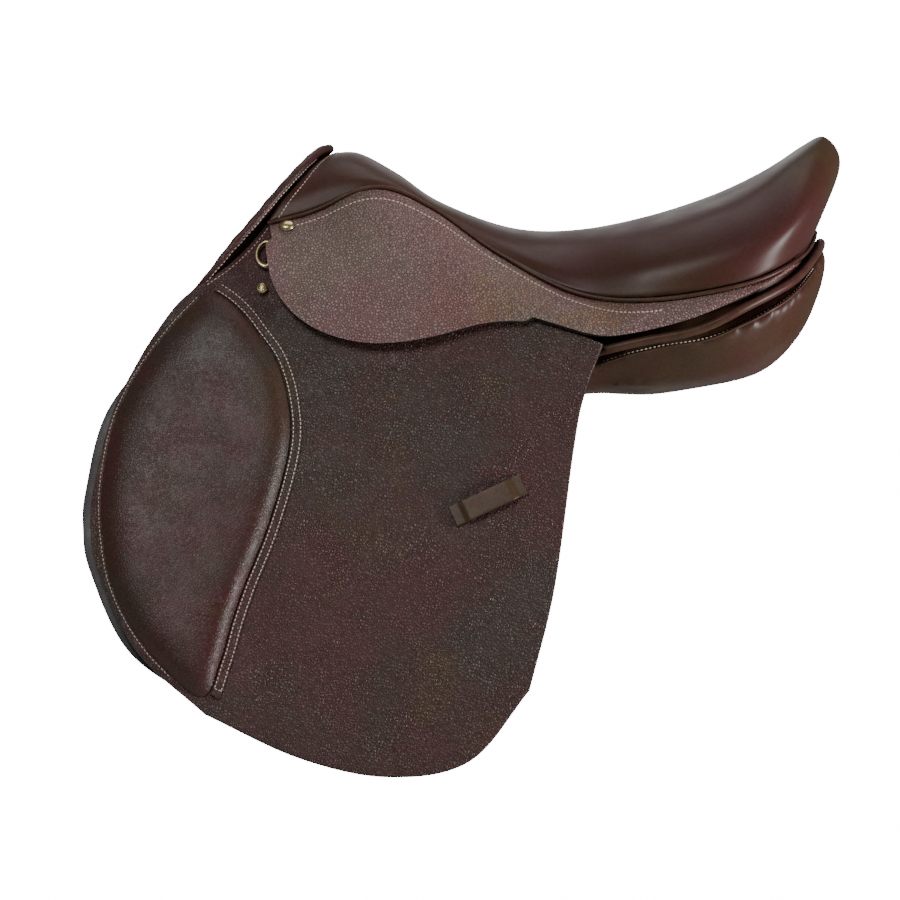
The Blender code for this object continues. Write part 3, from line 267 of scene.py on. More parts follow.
# %% The seat's surface and its seam
SEAT_STATIONS = [
    [(-172, 0, 108), (-181, 22, 105), (-199, 44, 95), (-219, 61, 75), (-233, 70, 55)],
    [(-152, 0, 107), (-156, 22, 105.5), (-165, 45, 98), (-176, 60, 84), (-185, 67, 67)],
    [(-122, 0, 90.5), (-124, 22, 91), (-128, 44, 89), (-133, 59, 85), (-137, 65, 79.5)],
    [(-90, 0, 69), (-91, 24, 69), (-92, 46, 67.5), (-94, 61, 65), (-95, 67.5, 62)],
    [(-35, 0, 49), (-36, 28, 48), (-39, 54, 44), (-43, 74, 37), (-45, 84, 28)],
    [(15, 0, 47), (15, 38, 45), (15, 74, 34), (15, 100, 14), (15, 111, -3)],
    [(70, 0, 57.5), (72, 50, 54), (75, 95, 42), (77, 126, 18), (75, 134, -8)],
    [(120, 0, 73.5), (130, 50, 72), (145, 95, 66), (158, 128, 38), (148, 132, 5)],
    [(155, 0, 89), (172, 32, 97), (190, 64, 100), (202, 90, 70), (190, 92, 27)],
    [(172, 0, 98), (194, 0, 113.5), (212, 0, 120.5), (224, 0, 98), (204, 0, 48)],
]
POMMEL_EASE = Vector((8, 0, -4))
EASED_BEFORE_X = -150.0
EASED_OVER = 60.0
BESIDE_SEAM = 0.96
SMALL_STEP = 0.01


def eased(place):
    """A seat point, with the sides of the front edge drawn back and down as in the photograph."""
    forwards = gentle((EASED_BEFORE_X - place.x) / EASED_OVER)
    sideways = gentle(abs(place.y) / EASED_OVER)
    return place + POMMEL_EASE * forwards * sideways


def seat_point(t, r):
    """The seat's surface: t runs from pommel to cantle, and r from the off seam to the near seam."""
    ridge = SEAT_STATIONS[-1]
    rows = [along(station, abs(r), "" if station is ridge else "first") for station in SEAT_STATIONS]
    place = eased(along(rows, t, "last"))
    in_middle = r == 0 or t == 1
    return Vector((place.x, 0 if in_middle else place.y * math.copysign(1, -r), place.z))


def seam_normal(t):
    """The direction that the seat's surface faces at its near-side seam."""
    down = seat_point(t, 1) - seat_point(t, BESIDE_SEAM)
    inside = 1 - SMALL_STEP
    ahead = seat_point(min(t + SMALL_STEP, 1), inside) - seat_point(max(t - SMALL_STEP, 0), inside)
    facing = ahead.cross(down).normalized()
    looks_in = facing.y > 0.2 or (t > 0.9 and facing.x < 0)
    return -facing if looks_in else facing


def seam_point(t, reach=0.0, proud=0.0):
    """The near-side seam between seat and skirt, or a point beyond it and proud of the seat."""
    edge = seat_point(t, 1)
    down = (edge - seat_point(t, BESIDE_SEAM)).normalized()
    return edge + down * reach + seam_normal(t) * proud


lowest = min(seat_point(t, 0).z for t in steps(40))
print("seat dips to", round(lowest, 1), "mm above the gullet's ceiling")

# %% The flap's and the skirt's side faces
FLAP_FOLD_Z = -44.0
FLAP_FOLD_HALF_WIDTH = 138.0
FLAP_SPLAY = 0.28
FLAP_UPPER_CURL = 0.0022
FLAP_LOWER_CURL = 0.00008
FRONT_TAPER = 0.12
TAPER_HEIGHT = 326.0
SKIRT_FRONT_X = -224.0
SKIRT_FOLD_FRONT_Z = 40.0
SKIRT_FOLD_FALL = 0.309
SKIRT_FOLD_HALF_WIDTH = 86.5
SKIRT_FOLD_SPREAD = 0.237
SKIRT_FOLD_END_X = 20.0
SKIRT_LOBE_END_X = -20.0
SKIRT_SPLAY = 0.53
SKIRT_CURL = 0.0015


def flap_face(x, z):
    """Half width of the flap's outer face."""
    drop = FLAP_FOLD_Z - z
    curl = FLAP_LOWER_CURL if drop > 0 else FLAP_UPPER_CURL
    taper = FRONT_TAPER * (1 - max(drop, 0) / TAPER_HEIGHT)
    return FLAP_FOLD_HALF_WIDTH + FLAP_SPLAY * drop - curl * drop**2 + taper * x


def on_flap(spot, lift=0.0):
    """The near-side point on the flap, or proud of it, at a spot of an outline seen from the side."""
    x, z, _ = spot
    return Vector((x, -flap_face(x, z) - lift, z))


def skirt_fold(x):
    """The point of the skirt's straight fold at x, as y and z."""
    back = x - SKIRT_FRONT_X
    return SKIRT_FOLD_HALF_WIDTH + SKIRT_FOLD_SPREAD * back, SKIRT_FOLD_FRONT_Z - SKIRT_FOLD_FALL * back


def skirt_face(x, z):
    """Half width of the hanging skirt's outer face."""
    width, fold_z = skirt_fold(x)
    drop = fold_z - z
    return width + SKIRT_SPLAY * drop - SKIRT_CURL * drop**2


print("flap is", round(flap_face(0, -300)), "mm out from the middle near its lowest point")

# %% [markdown]
# ## Leather finishes
# Saddle leather is never one colour. The hide is mottled by its dressing, its grain is a field of small
# rounded pebbles, and the high places are rubbed lighter and shinier. These effects are node groups that
# put out a colour, a mask or a height, so that each leather can mix them at its own strength.

# %% Helpers that add nodes and link them
def new_group(name, inputs, outputs):
    """An empty node group with its two end nodes. inputs and outputs give each socket's name and kind."""
    group = bpy.data.node_groups.new(name, "ShaderNodeTree")
    for way, sockets in (("INPUT", inputs), ("OUTPUT", outputs)):
        for label, kind in sockets.items():
            group.interface.new_socket(label, in_out=way, socket_type="NodeSocket" + kind)
    return group, group.nodes.new("NodeGroupInput"), group.nodes.new("NodeGroupOutput")


def new_material(name):
    """A new material, its node tree and its shader."""
    made = bpy.data.materials.new(name)
    made.use_nodes = True
    return made, made.node_tree, made.node_tree.nodes["Principled BSDF"]


def add(tree, kind, settings=(), **wires):
    """A node with its settings and inputs. A wire i4 goes to input 4, another to the input of its name."""
    node = tree.nodes.new(kind)
    for name, value in dict(settings).items():
        setattr(node, name, value)
    for label, value in wires.items():
        number = label[1:].isdigit() and label[0] == "i"
        socket = node.inputs[int(label[1:])] if number else node.inputs[label.replace("_", " ")]
        if isinstance(value, bpy.types.NodeSocket):
            tree.links.new(value, socket)
        else:
            socket.default_value = value
    return node


def noise(tree, place, scale, detail, settings=(), **more):
    """Cloudy noise with scale lumps a metre."""
    made = add(tree, "ShaderNodeTexNoise", settings, Vector=place, Scale=scale, Detail=detail, **more)
    return made.outputs["Fac"]


def math_node(tree, operation, first, second):
    return add(tree, "ShaderNodeMath", {"operation": operation}, i0=first, i1=second).outputs[0]


def colour_mix(tree, factor, first, second, blend="MIX"):
    settings = {"data_type": "RGBA", "blend_type": blend}
    return add(tree, "ShaderNodeMix", settings, i0=factor, i6=first, i7=second).outputs[2]


def spread(tree, value, low, high, to_low=0.0, to_high=1.0):
    """The value stretched from one range to another, and held inside it."""
    made = add(tree, "ShaderNodeMapRange", {"interpolation_type": "SMOOTHSTEP"},
               Value=value, From_Min=low, From_Max=high, To_Min=to_low, To_Max=to_high)
    return made.outputs["Result"]


def add_bump(tree, shader, height, strength, depth):
    """A bump on the shader, depth millimetres deep."""
    raised = add(tree, "ShaderNodeBump", Strength=strength, Distance=depth * MM, Height=height)
    tree.links.new(raised.outputs["Normal"], shader.inputs["Normal"])


# %% Pebbled grain as a height, with its pebbles pressed flatter in places
def make_grain():
    group, start, end = new_group(
        "leather grain",
        {"Place": "Vector", "Pebbles": "Float", "Fineness": "Float"},
        {"Height": "Float", "Valley": "Float"},
    )
    place, pebbles = start.outputs["Place"], start.outputs["Pebbles"]
    wobble = add(group, "ShaderNodeTexNoise", Vector=place, Scale=160.0, Detail=2.0)
    moved = add(group, "ShaderNodeMix", {"data_type": "VECTOR"},
                i0=0.0022, i4=place, i5=wobble.outputs["Color"]).outputs[1]
    cells = add(group, "ShaderNodeTexVoronoi", {"feature": "DISTANCE_TO_EDGE"}, Vector=moved, Scale=pebbles)
    pebble = spread(group, cells.outputs["Distance"], 0.0, 0.32)
    pores = noise(group, moved, math_node(group, "MULTIPLY", pebbles, 2.6), 3.0)
    pressed = noise(group, place, 45.0, 2.0)
    high = math_node(group, "MULTIPLY", pebble, spread(group, pressed, 0.3, 0.7, 0.55, 1.0))
    fine = math_node(group, "MULTIPLY", pores, start.outputs["Fineness"])
    group.links.new(math_node(group, "ADD", high, fine), end.inputs["Height"])
    group.links.new(math_node(group, "SUBTRACT", 1.0, pebble), end.inputs["Valley"])
    return group


GRAIN = make_grain()
print("node group:", GRAIN.name)

# %% Mottled dressing, as four colours that drift into each other
DRESSING = ("Ground", "Cool", "Red", "Tan")
TAN_NOISE_SHIFT = (0.37, 0.0, 0.21)
SPECK_SHADE = (0.5, 0.45, 0.45, 1)


def make_mottling():
    colours = {colour: "Color" for colour in DRESSING}
    group, start, end = new_group("leather mottling", {"Place": "Vector", "Patches": "Float", **colours},
                                  {"Color": "Color"})
    place, patches = start.outputs["Place"], start.outputs["Patches"]
    ground, cool, red, tan = (start.outputs[colour] for colour in DRESSING)
    broad = noise(group, place, patches, 4.0, Roughness=0.62)
    base = colour_mix(group, spread(group, broad, 0.47, 0.62), ground, red)
    cooled = colour_mix(group, spread(group, broad, 0.5, 0.36), base, cool)
    shifted = add(group, "ShaderNodeVectorMath", {"operation": "ADD"}, i0=place, i1=TAN_NOISE_SHIFT)
    smaller = math_node(group, "MULTIPLY", patches, 1.3)
    small = noise(group, shifted.outputs["Vector"], smaller, 4.0, Roughness=0.6)
    mixed = colour_mix(group, spread(group, small, 0.52, 0.68), cooled, tan)
    specks = spread(group, noise(group, place, 420.0, 2.0), 0.35, 0.75, 0.0, 0.35)
    darker = colour_mix(group, specks, mixed, SPECK_SHADE, "MULTIPLY")
    group.links.new(darker, end.inputs["Color"])
    return group


MOTTLING = make_mottling()
print("node group:", MOTTLING.name)

# %% Edge wear, as a mask on raised edges that noise breaks up
def make_edge_wear():
    group, start, end = new_group("edge wear", {"Place": "Vector", "Amount": "Float"}, {"Mask": "Float"})
    shape = add(group, "ShaderNodeNewGeometry")
    raised = spread(group, shape.outputs["Pointiness"], 0.51, 0.58)
    broken = spread(group, noise(group, start.outputs["Place"], 90.0, 4.0), 0.35, 0.65)
    rubbed = math_node(group, "MULTIPLY", raised, broken)
    group.links.new(math_node(group, "MULTIPLY", rubbed, start.outputs["Amount"]), end.inputs["Mask"])
    return group


EDGE_WEAR = make_edge_wear()
print("node group:", EDGE_WEAR.name)


def with_wear(tree, place, amount, colour, worn):
    """The colour, with the worn one on raised edges."""
    wear = add(tree, "ShaderNodeGroup", {"node_tree": EDGE_WEAR}, Place=place, Amount=amount)
    return colour_mix(tree, wear.outputs["Mask"], colour, (*worn, 1))


# %% [markdown]
# A leather is then one short recipe: mottled colour, lighter worn edges, pebbles with painted shade in
# the valleys between them, and a bump from the same pebbles. Long faint creases run through the softer
# leathers.

# %% The leather recipe
# Painted shade: the colour that darkens the grain's valleys
VALLEY_SHADE = (0.35, 0.3, 0.3, 1)


def leather(name, colours, worn, patches, pebbles, bump, depth, rough, valley,
            fineness=0.4, creases=0.0, shine=0.5):
    """A hide in four dressing colours and a worn one. depth is its grain's depth in millimetres."""
    made, tree, shader = new_material(name)
    place = add(tree, "ShaderNodeTexCoord").outputs["Object"]
    dressing = add(tree, "ShaderNodeGroup", {"node_tree": MOTTLING}, Place=place, Patches=patches,
                   **{label: (*colour, 1) for label, colour in zip(DRESSING, colours)})
    grain = add(tree, "ShaderNodeGroup", {"node_tree": GRAIN},
                Place=place, Pebbles=pebbles, Fineness=fineness)
    # Painted shade in the grain's valleys, as strong as valley
    in_valleys = math_node(tree, "MULTIPLY", grain.outputs["Valley"], valley)
    dark = colour_mix(tree, in_valleys, dressing.outputs["Color"], VALLEY_SHADE, "MULTIPLY")
    tree.links.new(with_wear(tree, place, 0.6, dark, worn), shader.inputs["Base Color"])
    polish = noise(tree, place, 26.0, 5.0)
    tree.links.new(spread(tree, polish, 0.3, 0.7, *rough), shader.inputs["Roughness"])
    folds = noise(tree, place, 55.0, 3.0, {"noise_type": "RIDGED_MULTIFRACTAL"})
    height = math_node(tree, "ADD", grain.outputs["Height"], math_node(tree, "MULTIPLY", folds, creases))
    add_bump(tree, shader, height, bump, depth)
    shader.inputs["Specular IOR Level"].default_value = shine
    return made


# %% The saddle's leathers
SEAT_HIDE = leather(
    "smooth seat leather",
    [(0.078, 0.032, 0.019), (0.068, 0.037, 0.020), (0.086, 0.028, 0.024), (0.080, 0.046, 0.017)],
    worn=(0.13, 0.07, 0.045), patches=8, pebbles=1100, fineness=0.5, bump=0.12, depth=0.1,
    rough=(0.32, 0.42), creases=0.4, valley=0.15, shine=0.27)
PAD_HIDE = leather(
    "soft pad leather",
    [(0.074, 0.036, 0.028), (0.066, 0.047, 0.037), (0.098, 0.028, 0.030), (0.080, 0.044, 0.024)],
    worn=(0.12, 0.08, 0.06), patches=9, pebbles=500, fineness=0.45, bump=0.5, depth=0.35,
    rough=(0.34, 0.40), valley=0.5, shine=0.36)
FLAP_HIDE = leather(
    "pebbled flap leather",
    [(0.112, 0.051, 0.043), (0.098, 0.068, 0.054), (0.136, 0.046, 0.046), (0.126, 0.071, 0.036)],
    worn=(0.15, 0.10, 0.08), patches=9, pebbles=440, bump=1.0, depth=0.5,
    rough=(0.38, 0.5), valley=0.95, shine=0.45)
SKIRT_HIDE = leather(
    "pebbled skirt leather",
    [(0.355, 0.212, 0.202), (0.325, 0.242, 0.190), (0.365, 0.182, 0.160), (0.385, 0.230, 0.130)],
    worn=(0.42, 0.30, 0.24), patches=8, pebbles=440, bump=1.0, depth=0.5,
    rough=(0.38, 0.5), valley=0.95, shine=0.45)
EDGE_LEATHER = leather(
    "stained cut edge",
    [(0.016, 0.011, 0.010), (0.020, 0.017, 0.017), (0.022, 0.011, 0.010), (0.022, 0.014, 0.010)],
    worn=(0.07, 0.05, 0.045), patches=30, pebbles=1400, bump=0.3, depth=0.2, rough=(0.4, 0.6), valley=0.2)
SWEAT_HIDE = leather(
    "dark sweat flap leather",
    [(0.022, 0.013, 0.012), (0.020, 0.016, 0.015), (0.026, 0.012, 0.011), (0.026, 0.017, 0.011)],
    worn=(0.10, 0.07, 0.06), patches=14, pebbles=900, bump=0.25, depth=0.2, rough=(0.35, 0.5), valley=0.3)
STRAP_HIDE = leather(
    "waxed strap leather",
    [(0.085, 0.040, 0.018), (0.070, 0.040, 0.022), (0.090, 0.032, 0.016), (0.100, 0.055, 0.022)],
    worn=(0.18, 0.11, 0.06), patches=20, pebbles=1300, bump=0.25, depth=0.15, rough=(0.35, 0.5), valley=0.3)
KEEPER_HIDE = leather(
    "keeper leather",
    [(0.090, 0.045, 0.018), (0.070, 0.048, 0.018), (0.110, 0.044, 0.020), (0.100, 0.062, 0.022)],
    worn=(0.24, 0.15, 0.10), patches=30, pebbles=800, bump=0.4, depth=0.2, rough=(0.36, 0.5), valley=0.5)
print(len(bpy.data.materials), "materials so far")

# %% [markdown]
# Thread is twisted from plies, so its bump is a wave that winds round each stitch. Steel, the tree, foam
# and webbing are hidden, but each is looked at when the saddle is opened, so none stays plain.

# %% Thread, brass, steel and the hidden materials
def plain_recipe(name, colours, scale, rough, metallic=0.0, bump=0.2, depth=0.2, waves=0.0):
    """Two colours in noise and a worn one, varied gloss, and a bump of noise, with waves or without."""
    made, tree, shader = new_material(name)
    place = add(tree, "ShaderNodeTexCoord").outputs["Object"]
    clouds = noise(tree, place, scale, 5.0)
    first, second, worn = colours
    base = colour_mix(tree, spread(tree, clouds, 0.35, 0.65), (*first, 1), (*second, 1))
    tree.links.new(with_wear(tree, place, 0.5, base, worn), shader.inputs["Base Color"])
    tree.links.new(spread(tree, clouds, 0.3, 0.7, *rough), shader.inputs["Roughness"])
    height = clouds
    if waves:
        weave = add(tree, "ShaderNodeTexWave", {"bands_direction": "DIAGONAL"},
                    Vector=place, Scale=waves, Distortion=0.4)
        height = math_node(tree, "ADD", weave.outputs["Fac"], math_node(tree, "MULTIPLY", clouds, 0.4))
    add_bump(tree, shader, height, bump, depth)
    shader.inputs["Metallic"].default_value = metallic
    return made


THREAD = plain_recipe("waxed thread", ((0.80, 0.66, 0.53), (0.64, 0.50, 0.38), (0.90, 0.80, 0.68)),
                      500, (0.5, 0.7), bump=0.6, depth=0.15, waves=900)
BRASS = plain_recipe("brass", ((0.80, 0.66, 0.36), (0.70, 0.55, 0.28), (0.92, 0.82, 0.55)),
                     120, (0.2, 0.38), metallic=1.0, bump=0.08)
STEEL = plain_recipe("steel", ((0.50, 0.50, 0.50), (0.42, 0.42, 0.43), (0.68, 0.68, 0.68)),
                     150, (0.25, 0.42), metallic=1.0, bump=0.1)
SCRIM = plain_recipe("tree under black scrim",
                     ((0.030, 0.024, 0.020), (0.020, 0.016, 0.014), (0.07, 0.05, 0.035)),
                     220, (0.6, 0.8), bump=0.5, depth=0.3, waves=420)
FOAM = plain_recipe("latex foam", ((0.62, 0.56, 0.42), (0.55, 0.48, 0.34), (0.7, 0.64, 0.5)),
                    420, (0.85, 0.95), bump=0.6, depth=0.5)
WEBBING = plain_recipe("flax webbing", ((0.40, 0.34, 0.24), (0.33, 0.27, 0.18), (0.5, 0.44, 0.33)),
                       200, (0.8, 0.95), bump=0.7, depth=0.4, waves=500)
print("hidden finishes:", [m.name for m in (STEEL, SCRIM, FOAM, WEBBING)])

# %% [markdown]
# ## Laying a leather sheet
# A cut sheet starts as a flat grid primitive. Each of its points is laid on the curved face it belongs
# to, then Solidify gives the hide its thickness, with a stained edge of its own finish, and a small bevel
# rounds the edge as an edge iron does.

# %% Helpers that lay a grid on a surface and make it leather
LEATHER_CORNER = 50


def lay_grid(name, surface, columns, rows):
    """A grid primitive laid on surface(u, v), which is in millimetres."""
    laid = start_from(name, bpy.ops.mesh.primitive_grid_add,
                      x_subdivisions=columns, y_subdivisions=rows, size=2)
    for point in laid.data.vertices:
        point.co = surface((point.co.x + 1) / 2, (point.co.y + 1) / 2) * MM
    return laid


def face_out(piece, direction):
    """Turns all faces over if most of them look away from the direction."""
    towards = sum((face.normal.dot(Vector(direction)) * face.area for face in piece.data.polygons), 0.0)
    if towards < 0:
        piece.data.flip_normals()


def give_leather(piece, thickness, hide, rounding, edge=EDGE_LEATHER, levels=1, bevel_segments=2):
    """Thickness inwards, a stained and rounded edge, and a smooth surface."""
    put_on(piece, hide, edge)
    apply_modifier(piece, "SOLIDIFY", thickness=thickness * MM, offset=-1, use_even_offset=True,
                   material_offset_rim=1)
    if rounding:
        round_edges(piece, rounding, LEATHER_CORNER, bevel_segments)
    if levels:
        subdivide_smoothly(piece, levels)
    smooth_shading(piece, 60)


def patch(top, bottom, front, rear):
    """A flat patch inside four curves that meet at their ends, with u to the rear and v downwards."""
    def spot(u, v):
        across = at(top, u) * (1 - v) + at(bottom, u) * v
        down = at(front, v) * (1 - u) + at(rear, v) * u
        corners = (top[0] * (1 - u) * (1 - v) + top[-1] * u * (1 - v)
                   + bottom[0] * (1 - u) * v + bottom[-1] * u * v)
        return across + down - corners
    return spot


# %% [markdown]
# ## Rows of stitches
# Hand stitching is a row of short slanted dashes that sit half sunk in the leather. One stitch is a small
# sphere drawn out to a capsule. The row repeats it at an even pitch, each copy turned along the seam.

# %% One stitch, and rows of it
STITCH_PITCH = 3.4
STITCH_LENGTH = 2.5
STITCH_THICKNESS = 0.95


def make_stitch():
    """One stitch, lying along x, with its top towards z."""
    made = start_from("one_stitch", bpy.ops.mesh.primitive_uv_sphere_add,
                      segments=6, ring_count=5, radius=0.5)
    for point in made.data.vertices:
        x, y, z = point.co
        point.co = (z * STITCH_LENGTH, x * STITCH_THICKNESS, y * STITCH_THICKNESS)
    return made


def sew(name, path, outwards, thickness=1.0):
    """A row of stitches along a path in millimetres. outwards(point) is the way the leather faces there."""
    count = max(2, round(length_of(path) / STITCH_PITCH))
    places = evenly(path, count)
    points, faces = [], []
    for start, stop in zip(places, places[1:]):
        middle = (start + stop) / 2
        ahead = (stop - start).normalized()
        out = outwards(middle)
        out = (out - ahead * out.dot(ahead)).normalized()
        side = out.cross(ahead)
        first = len(points)
        for p in STITCH_POINTS:
            points.append((middle + ahead * p.x + (side * p.y + out * p.z) * thickness) * MM)
        faces += [tuple(first + k for k in face) for face in STITCH_FACES]
    mesh = bpy.data.meshes.new(name)
    mesh.from_pydata(points, [], faces)
    mesh.materials.append(THREAD)
    mesh.shade_smooth()
    row = in_scene(name, mesh)
    tidy_mesh(row, 0.001)
    return row


stitch = make_stitch()
STITCH_POINTS = [v.co.copy() for v in stitch.data.vertices]
STITCH_FACES = [tuple(face.vertices) for face in stitch.data.polygons]
bpy.data.objects.remove(stitch)
print("a stitch has", len(STITCH_FACES), "faces")

# %% [markdown]
# ## Cords and piping
# A welt is a cord wrapped in a strip of thin leather. It is a curve with a round bevel, made a mesh.

# %% Helpers for cords
CORD_ROUNDNESS = 4


def cord(name, path, radius, finish):
    line = bpy.data.curves.new(name, "CURVE")
    line.dimensions = "3D"
    line.bevel_depth = radius * MM
    line.bevel_resolution = CORD_ROUNDNESS
    line.use_fill_caps = True
    spline = line.splines.new("POLY")
    spline.points.add(len(path) - 1)
    for point, place in zip(spline.points, path):
        point.co = (*(place * MM), 1)
    select_only(in_scene(name, line))
    bpy.ops.object.convert(target="MESH")
    made = bpy.context.object
    put_on(made, finish)
    tidy_mesh(made, 0.005)
    smooth_shading(made)
    return made


def across_middle(near):
    """A path that runs along the near side to the middle plane and back along the off side."""
    end = near[-1]
    return near[:-1] + [Vector((end.x, 0, end.z))] + [mirrored(p) for p in near[-2::-1]]


# %% [markdown]
# ## The seat
# The seat is one soft hide, blocked over foam so tightly that it shows no wrinkle. It is full at the
# sides, drops to its deepest place and rises to the cantle. The grid is laid on the seat's stations, and
# the two halves meet and are merged along the cantle's ridge.

# %% Seat cover
SEAT_LEATHER = 2.5
SEAT_COLUMNS, SEAT_ROWS = 54, 40
seat = lay_grid("seat_leather", lambda u, v: seat_point(u, 2 * v - 1), SEAT_COLUMNS, SEAT_ROWS)
tidy_mesh(seat, 0.05)
face_out(seat, (0, 0, 1))
give_leather(seat, SEAT_LEATHER, SEAT_HIDE, rounding=0)
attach(seat, "saddle")
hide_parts("seat_cover")
print("seat faces:", len(seat.data.polygons))

# %% Seat welt, a thin cord just below the seat's edge
SEAT_WELT_RADIUS = 1.6
WELT_CLEARANCE = 0.7
WELT_PROUD = 0.9
near_seam = [seam_point(t, SEAT_WELT_RADIUS + WELT_CLEARANCE, WELT_PROUD) for t in steps(90, 0.006, 1)]
seat_welt = cord("seat_welt_cord", across_middle(near_seam), SEAT_WELT_RADIUS, SEAT_HIDE)
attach(seat_welt, "saddle")
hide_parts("seat_welt")
print("seat welt runs", round(2 * length_of(near_seam)), "mm")

# %% [markdown]
# ## The skirts
# The skirt hides the stirrup bar. Its upper part is sewn into the seat's seam and ends in a narrow tail
# beside the cantle. Its lobe hangs free from a straight fold, and lifts. Here both are one continuous
# sheet, laid in columns that run from the seam over the fold to the lobe's edge.

# %% The skirt's surface
SKIRT_LEATHER = 3.0
SKIRT_TAIL = [(40, 143, -38), (72, 142.5, -33), (110, 144, -22), (155, 134, -2), (186, 103, 17)]
SKIRT_LOBE = [(-20, -27.6), (-36, -26.5), (-59, -28.7), (-90, -37), (-121, -42.6), (-151, -42.6), (-182, -34),
              (-205, -18), (-219, 3.4), (-224.3, 28), (-224.5, 39.5)]
# The tail ends at the seat's last station but one
SKIRT_TAIL_END = 8 / 9
SKIRT_FRONT_BACK = 9.0
SKIRT_BULGE = 4.0
SKIRT_BULGE_SHARE = 0.06
LOBE_EDGE = outline_curve(SKIRT_LOBE, 80)


def fold_end_t():
    """How far along the seam the skirt's fold ends and its tail begins."""
    low, high = 0.4, 0.7
    for _ in range(20):
        middle = (low + high) / 2
        if along([station[-1] for station in SEAT_STATIONS], middle).x < SKIRT_FOLD_END_X:
            low = middle
        else:
            high = middle
    return low


FOLD_END = fold_end_t()


def skirt_edge(t):
    """Lower edge of the fixed part of the skirt: its straight fold, then the tail under the seat's side."""
    seam_x = [(station[-1][0], 0, 0) for station in SEAT_STATIONS]
    seam_x[0] = (SEAT_STATIONS[0][-1][0] + SKIRT_FRONT_BACK, 0, 0)
    x = along(seam_x, t).x
    if x <= SKIRT_FOLD_END_X:
        width, z = skirt_fold(x)
        return Vector((x, -width, z))
    width, z = skirt_fold(SKIRT_FOLD_END_X)
    tail = [Vector((SKIRT_FOLD_END_X, -width, z))] + [mirrored(Vector(p)) for p in SKIRT_TAIL]
    return along(tail, min(1, max(0, (t - FOLD_END) / (SKIRT_TAIL_END - FOLD_END))))


def skirt_top_point(t, f):
    """The fixed part of the skirt, with f from the seam welt down to the fold."""
    top = seam_point(t, 2 * (SEAT_WELT_RADIUS + WELT_CLEARANCE))
    low = skirt_edge(t)
    run_down = low - top
    level = Vector((0, -1, 0))
    out = level - run_down * (level.dot(run_down) / max(run_down.length_squared, 1))
    bulge = min(SKIRT_BULGE, SKIRT_BULGE_SHARE * run_down.length) * math.sin(math.pi * f)
    return top.lerp(low, f) + out.normalized() * bulge


def lobe_point(t, g):
    """The hanging lobe, with g from the fold down to its cut edge."""
    fold = skirt_edge(t)
    share = (SKIRT_LOBE_END_X - fold.x) / (SKIRT_LOBE_END_X - LOBE_EDGE[-1].x)
    if share <= 0:
        return fold
    low = at(LOBE_EDGE, min(share, 1))
    x = fold.x + (low.x - fold.x) * g
    z = fold.z + (low.y - fold.z) * g
    return Vector((x, -skirt_face(x, z), z))


def skirt_column(t):
    """The skirt's points from the seam down to its edge."""
    down = [skirt_top_point(t, f) for f in steps(SPAN_STEPS)]
    if lobe_point(t, 1) != down[-1]:
        down += [lobe_point(t, g) for g in steps(SPAN_STEPS)[1:]]
    return down


print("the fold ends at t =", round(FOLD_END, 3))

# %% Skirt leather
SKIRT_COLUMNS, SKIRT_ROWS = 100, 22
SKIRT_FRONT = 0.012
skirt_spots = [evenly(skirt_column(t), SKIRT_ROWS) for t in steps(SKIRT_COLUMNS, SKIRT_FRONT, SKIRT_TAIL_END)]


def skirt_point(u, v):
    return skirt_spots[round(u * SKIRT_COLUMNS)][round(v * SKIRT_ROWS)]


skirt = lay_grid("left_skirt_leather", skirt_point, SKIRT_COLUMNS, SKIRT_ROWS)
face_out(skirt, (0, -1, 0))
give_leather(skirt, SKIRT_LEATHER, SKIRT_HIDE, rounding=0.9)
print("skirt faces:", len(skirt.data.polygons))

# %% [markdown]
# The near skirt is mirrored to the off side, and the CAD's skirt pieces are hidden.

# %% Skirts on both sides
SKIRT_BEND = 9.0
FOLD_MIDDLE_X = -120.0
FOLD_MIDDLE = Vector((FOLD_MIDDLE_X, -skirt_fold(FOLD_MIDDLE_X)[0], skirt_fold(FOLD_MIDDLE_X)[1]))
FOLD_AXIS = Vector((1, -SKIRT_FOLD_SPREAD, -SKIRT_FOLD_FALL)).normalized()
HANGING = Vector((0, -SKIRT_SPLAY, -1))
SKIRT_DOWN = (HANGING - FOLD_AXIS * HANGING.dot(FOLD_AXIS)).normalized()


def bend_at(piece, side, middle, half):
    """Bakes a piece's placement into its mesh. The ends of its bend for either side are worked out, but no
    bend is made.
    """
    start, end = middle - half, middle + half
    if side == "right":
        start, end = mirrored(start), mirrored(end)
    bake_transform(piece)


def bend_at_skirt_fold(piece, side):
    bend_at(piece, side, FOLD_MIDDLE, SKIRT_DOWN * SKIRT_BEND)


for side, piece in twins(skirt):
    bend_at_skirt_fold(piece, side)
    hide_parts(f"{side}_skirt_top", f"{side}_skirt")
print("both skirts bend over", 2 * SKIRT_BEND, "mm")

# %% [markdown]
# ## The flaps
# The flap is the largest and thickest hide. On the CAD it is cut at the natural fold under the skirt, so
# that it can lift. Here it is one piece, a patch inside its four edges, laid on the flap's side face. A
# window lets the stirrup bar through, and a Boolean cuts it, as a saddler cuts it with a knife.

# %% Flap outline
FLAP_LEATHER = 4.1
FLAP_FRONT = [(-226, 49), (-234, 38), (-243, 28), (-255, 17), (-272, 5), (-292, -11), (-309, -34),
              (-323, -57), (-342, -97), (-355.5, -156), (-357, -186), (-351, -216), (-321, -277),
              (-268, -325)]
FLAP_BOTTOM = [(-268, -325), (-196, -358), (-128, -372), (-67, -360), (-22, -307)]
FLAP_REAR = [(34.8, -44), (20, -84), (12, -125), (-3, -231), (-22, -307)]
FLAP_TOP = [(-226, 49), (-208, 54), (-180, 54), (-140, 48), (-105, 25), (-70, -2), (-30, -20), (10, -34),
            (34.8, -44)]
flap_front = outline_curve(FLAP_FRONT)
flap_patch = patch(outline_curve(FLAP_TOP), outline_curve(FLAP_BOTTOM), flap_front, outline_curve(FLAP_REAR))
print("front edge of the flap:", round(length_of(flap_front)), "mm")

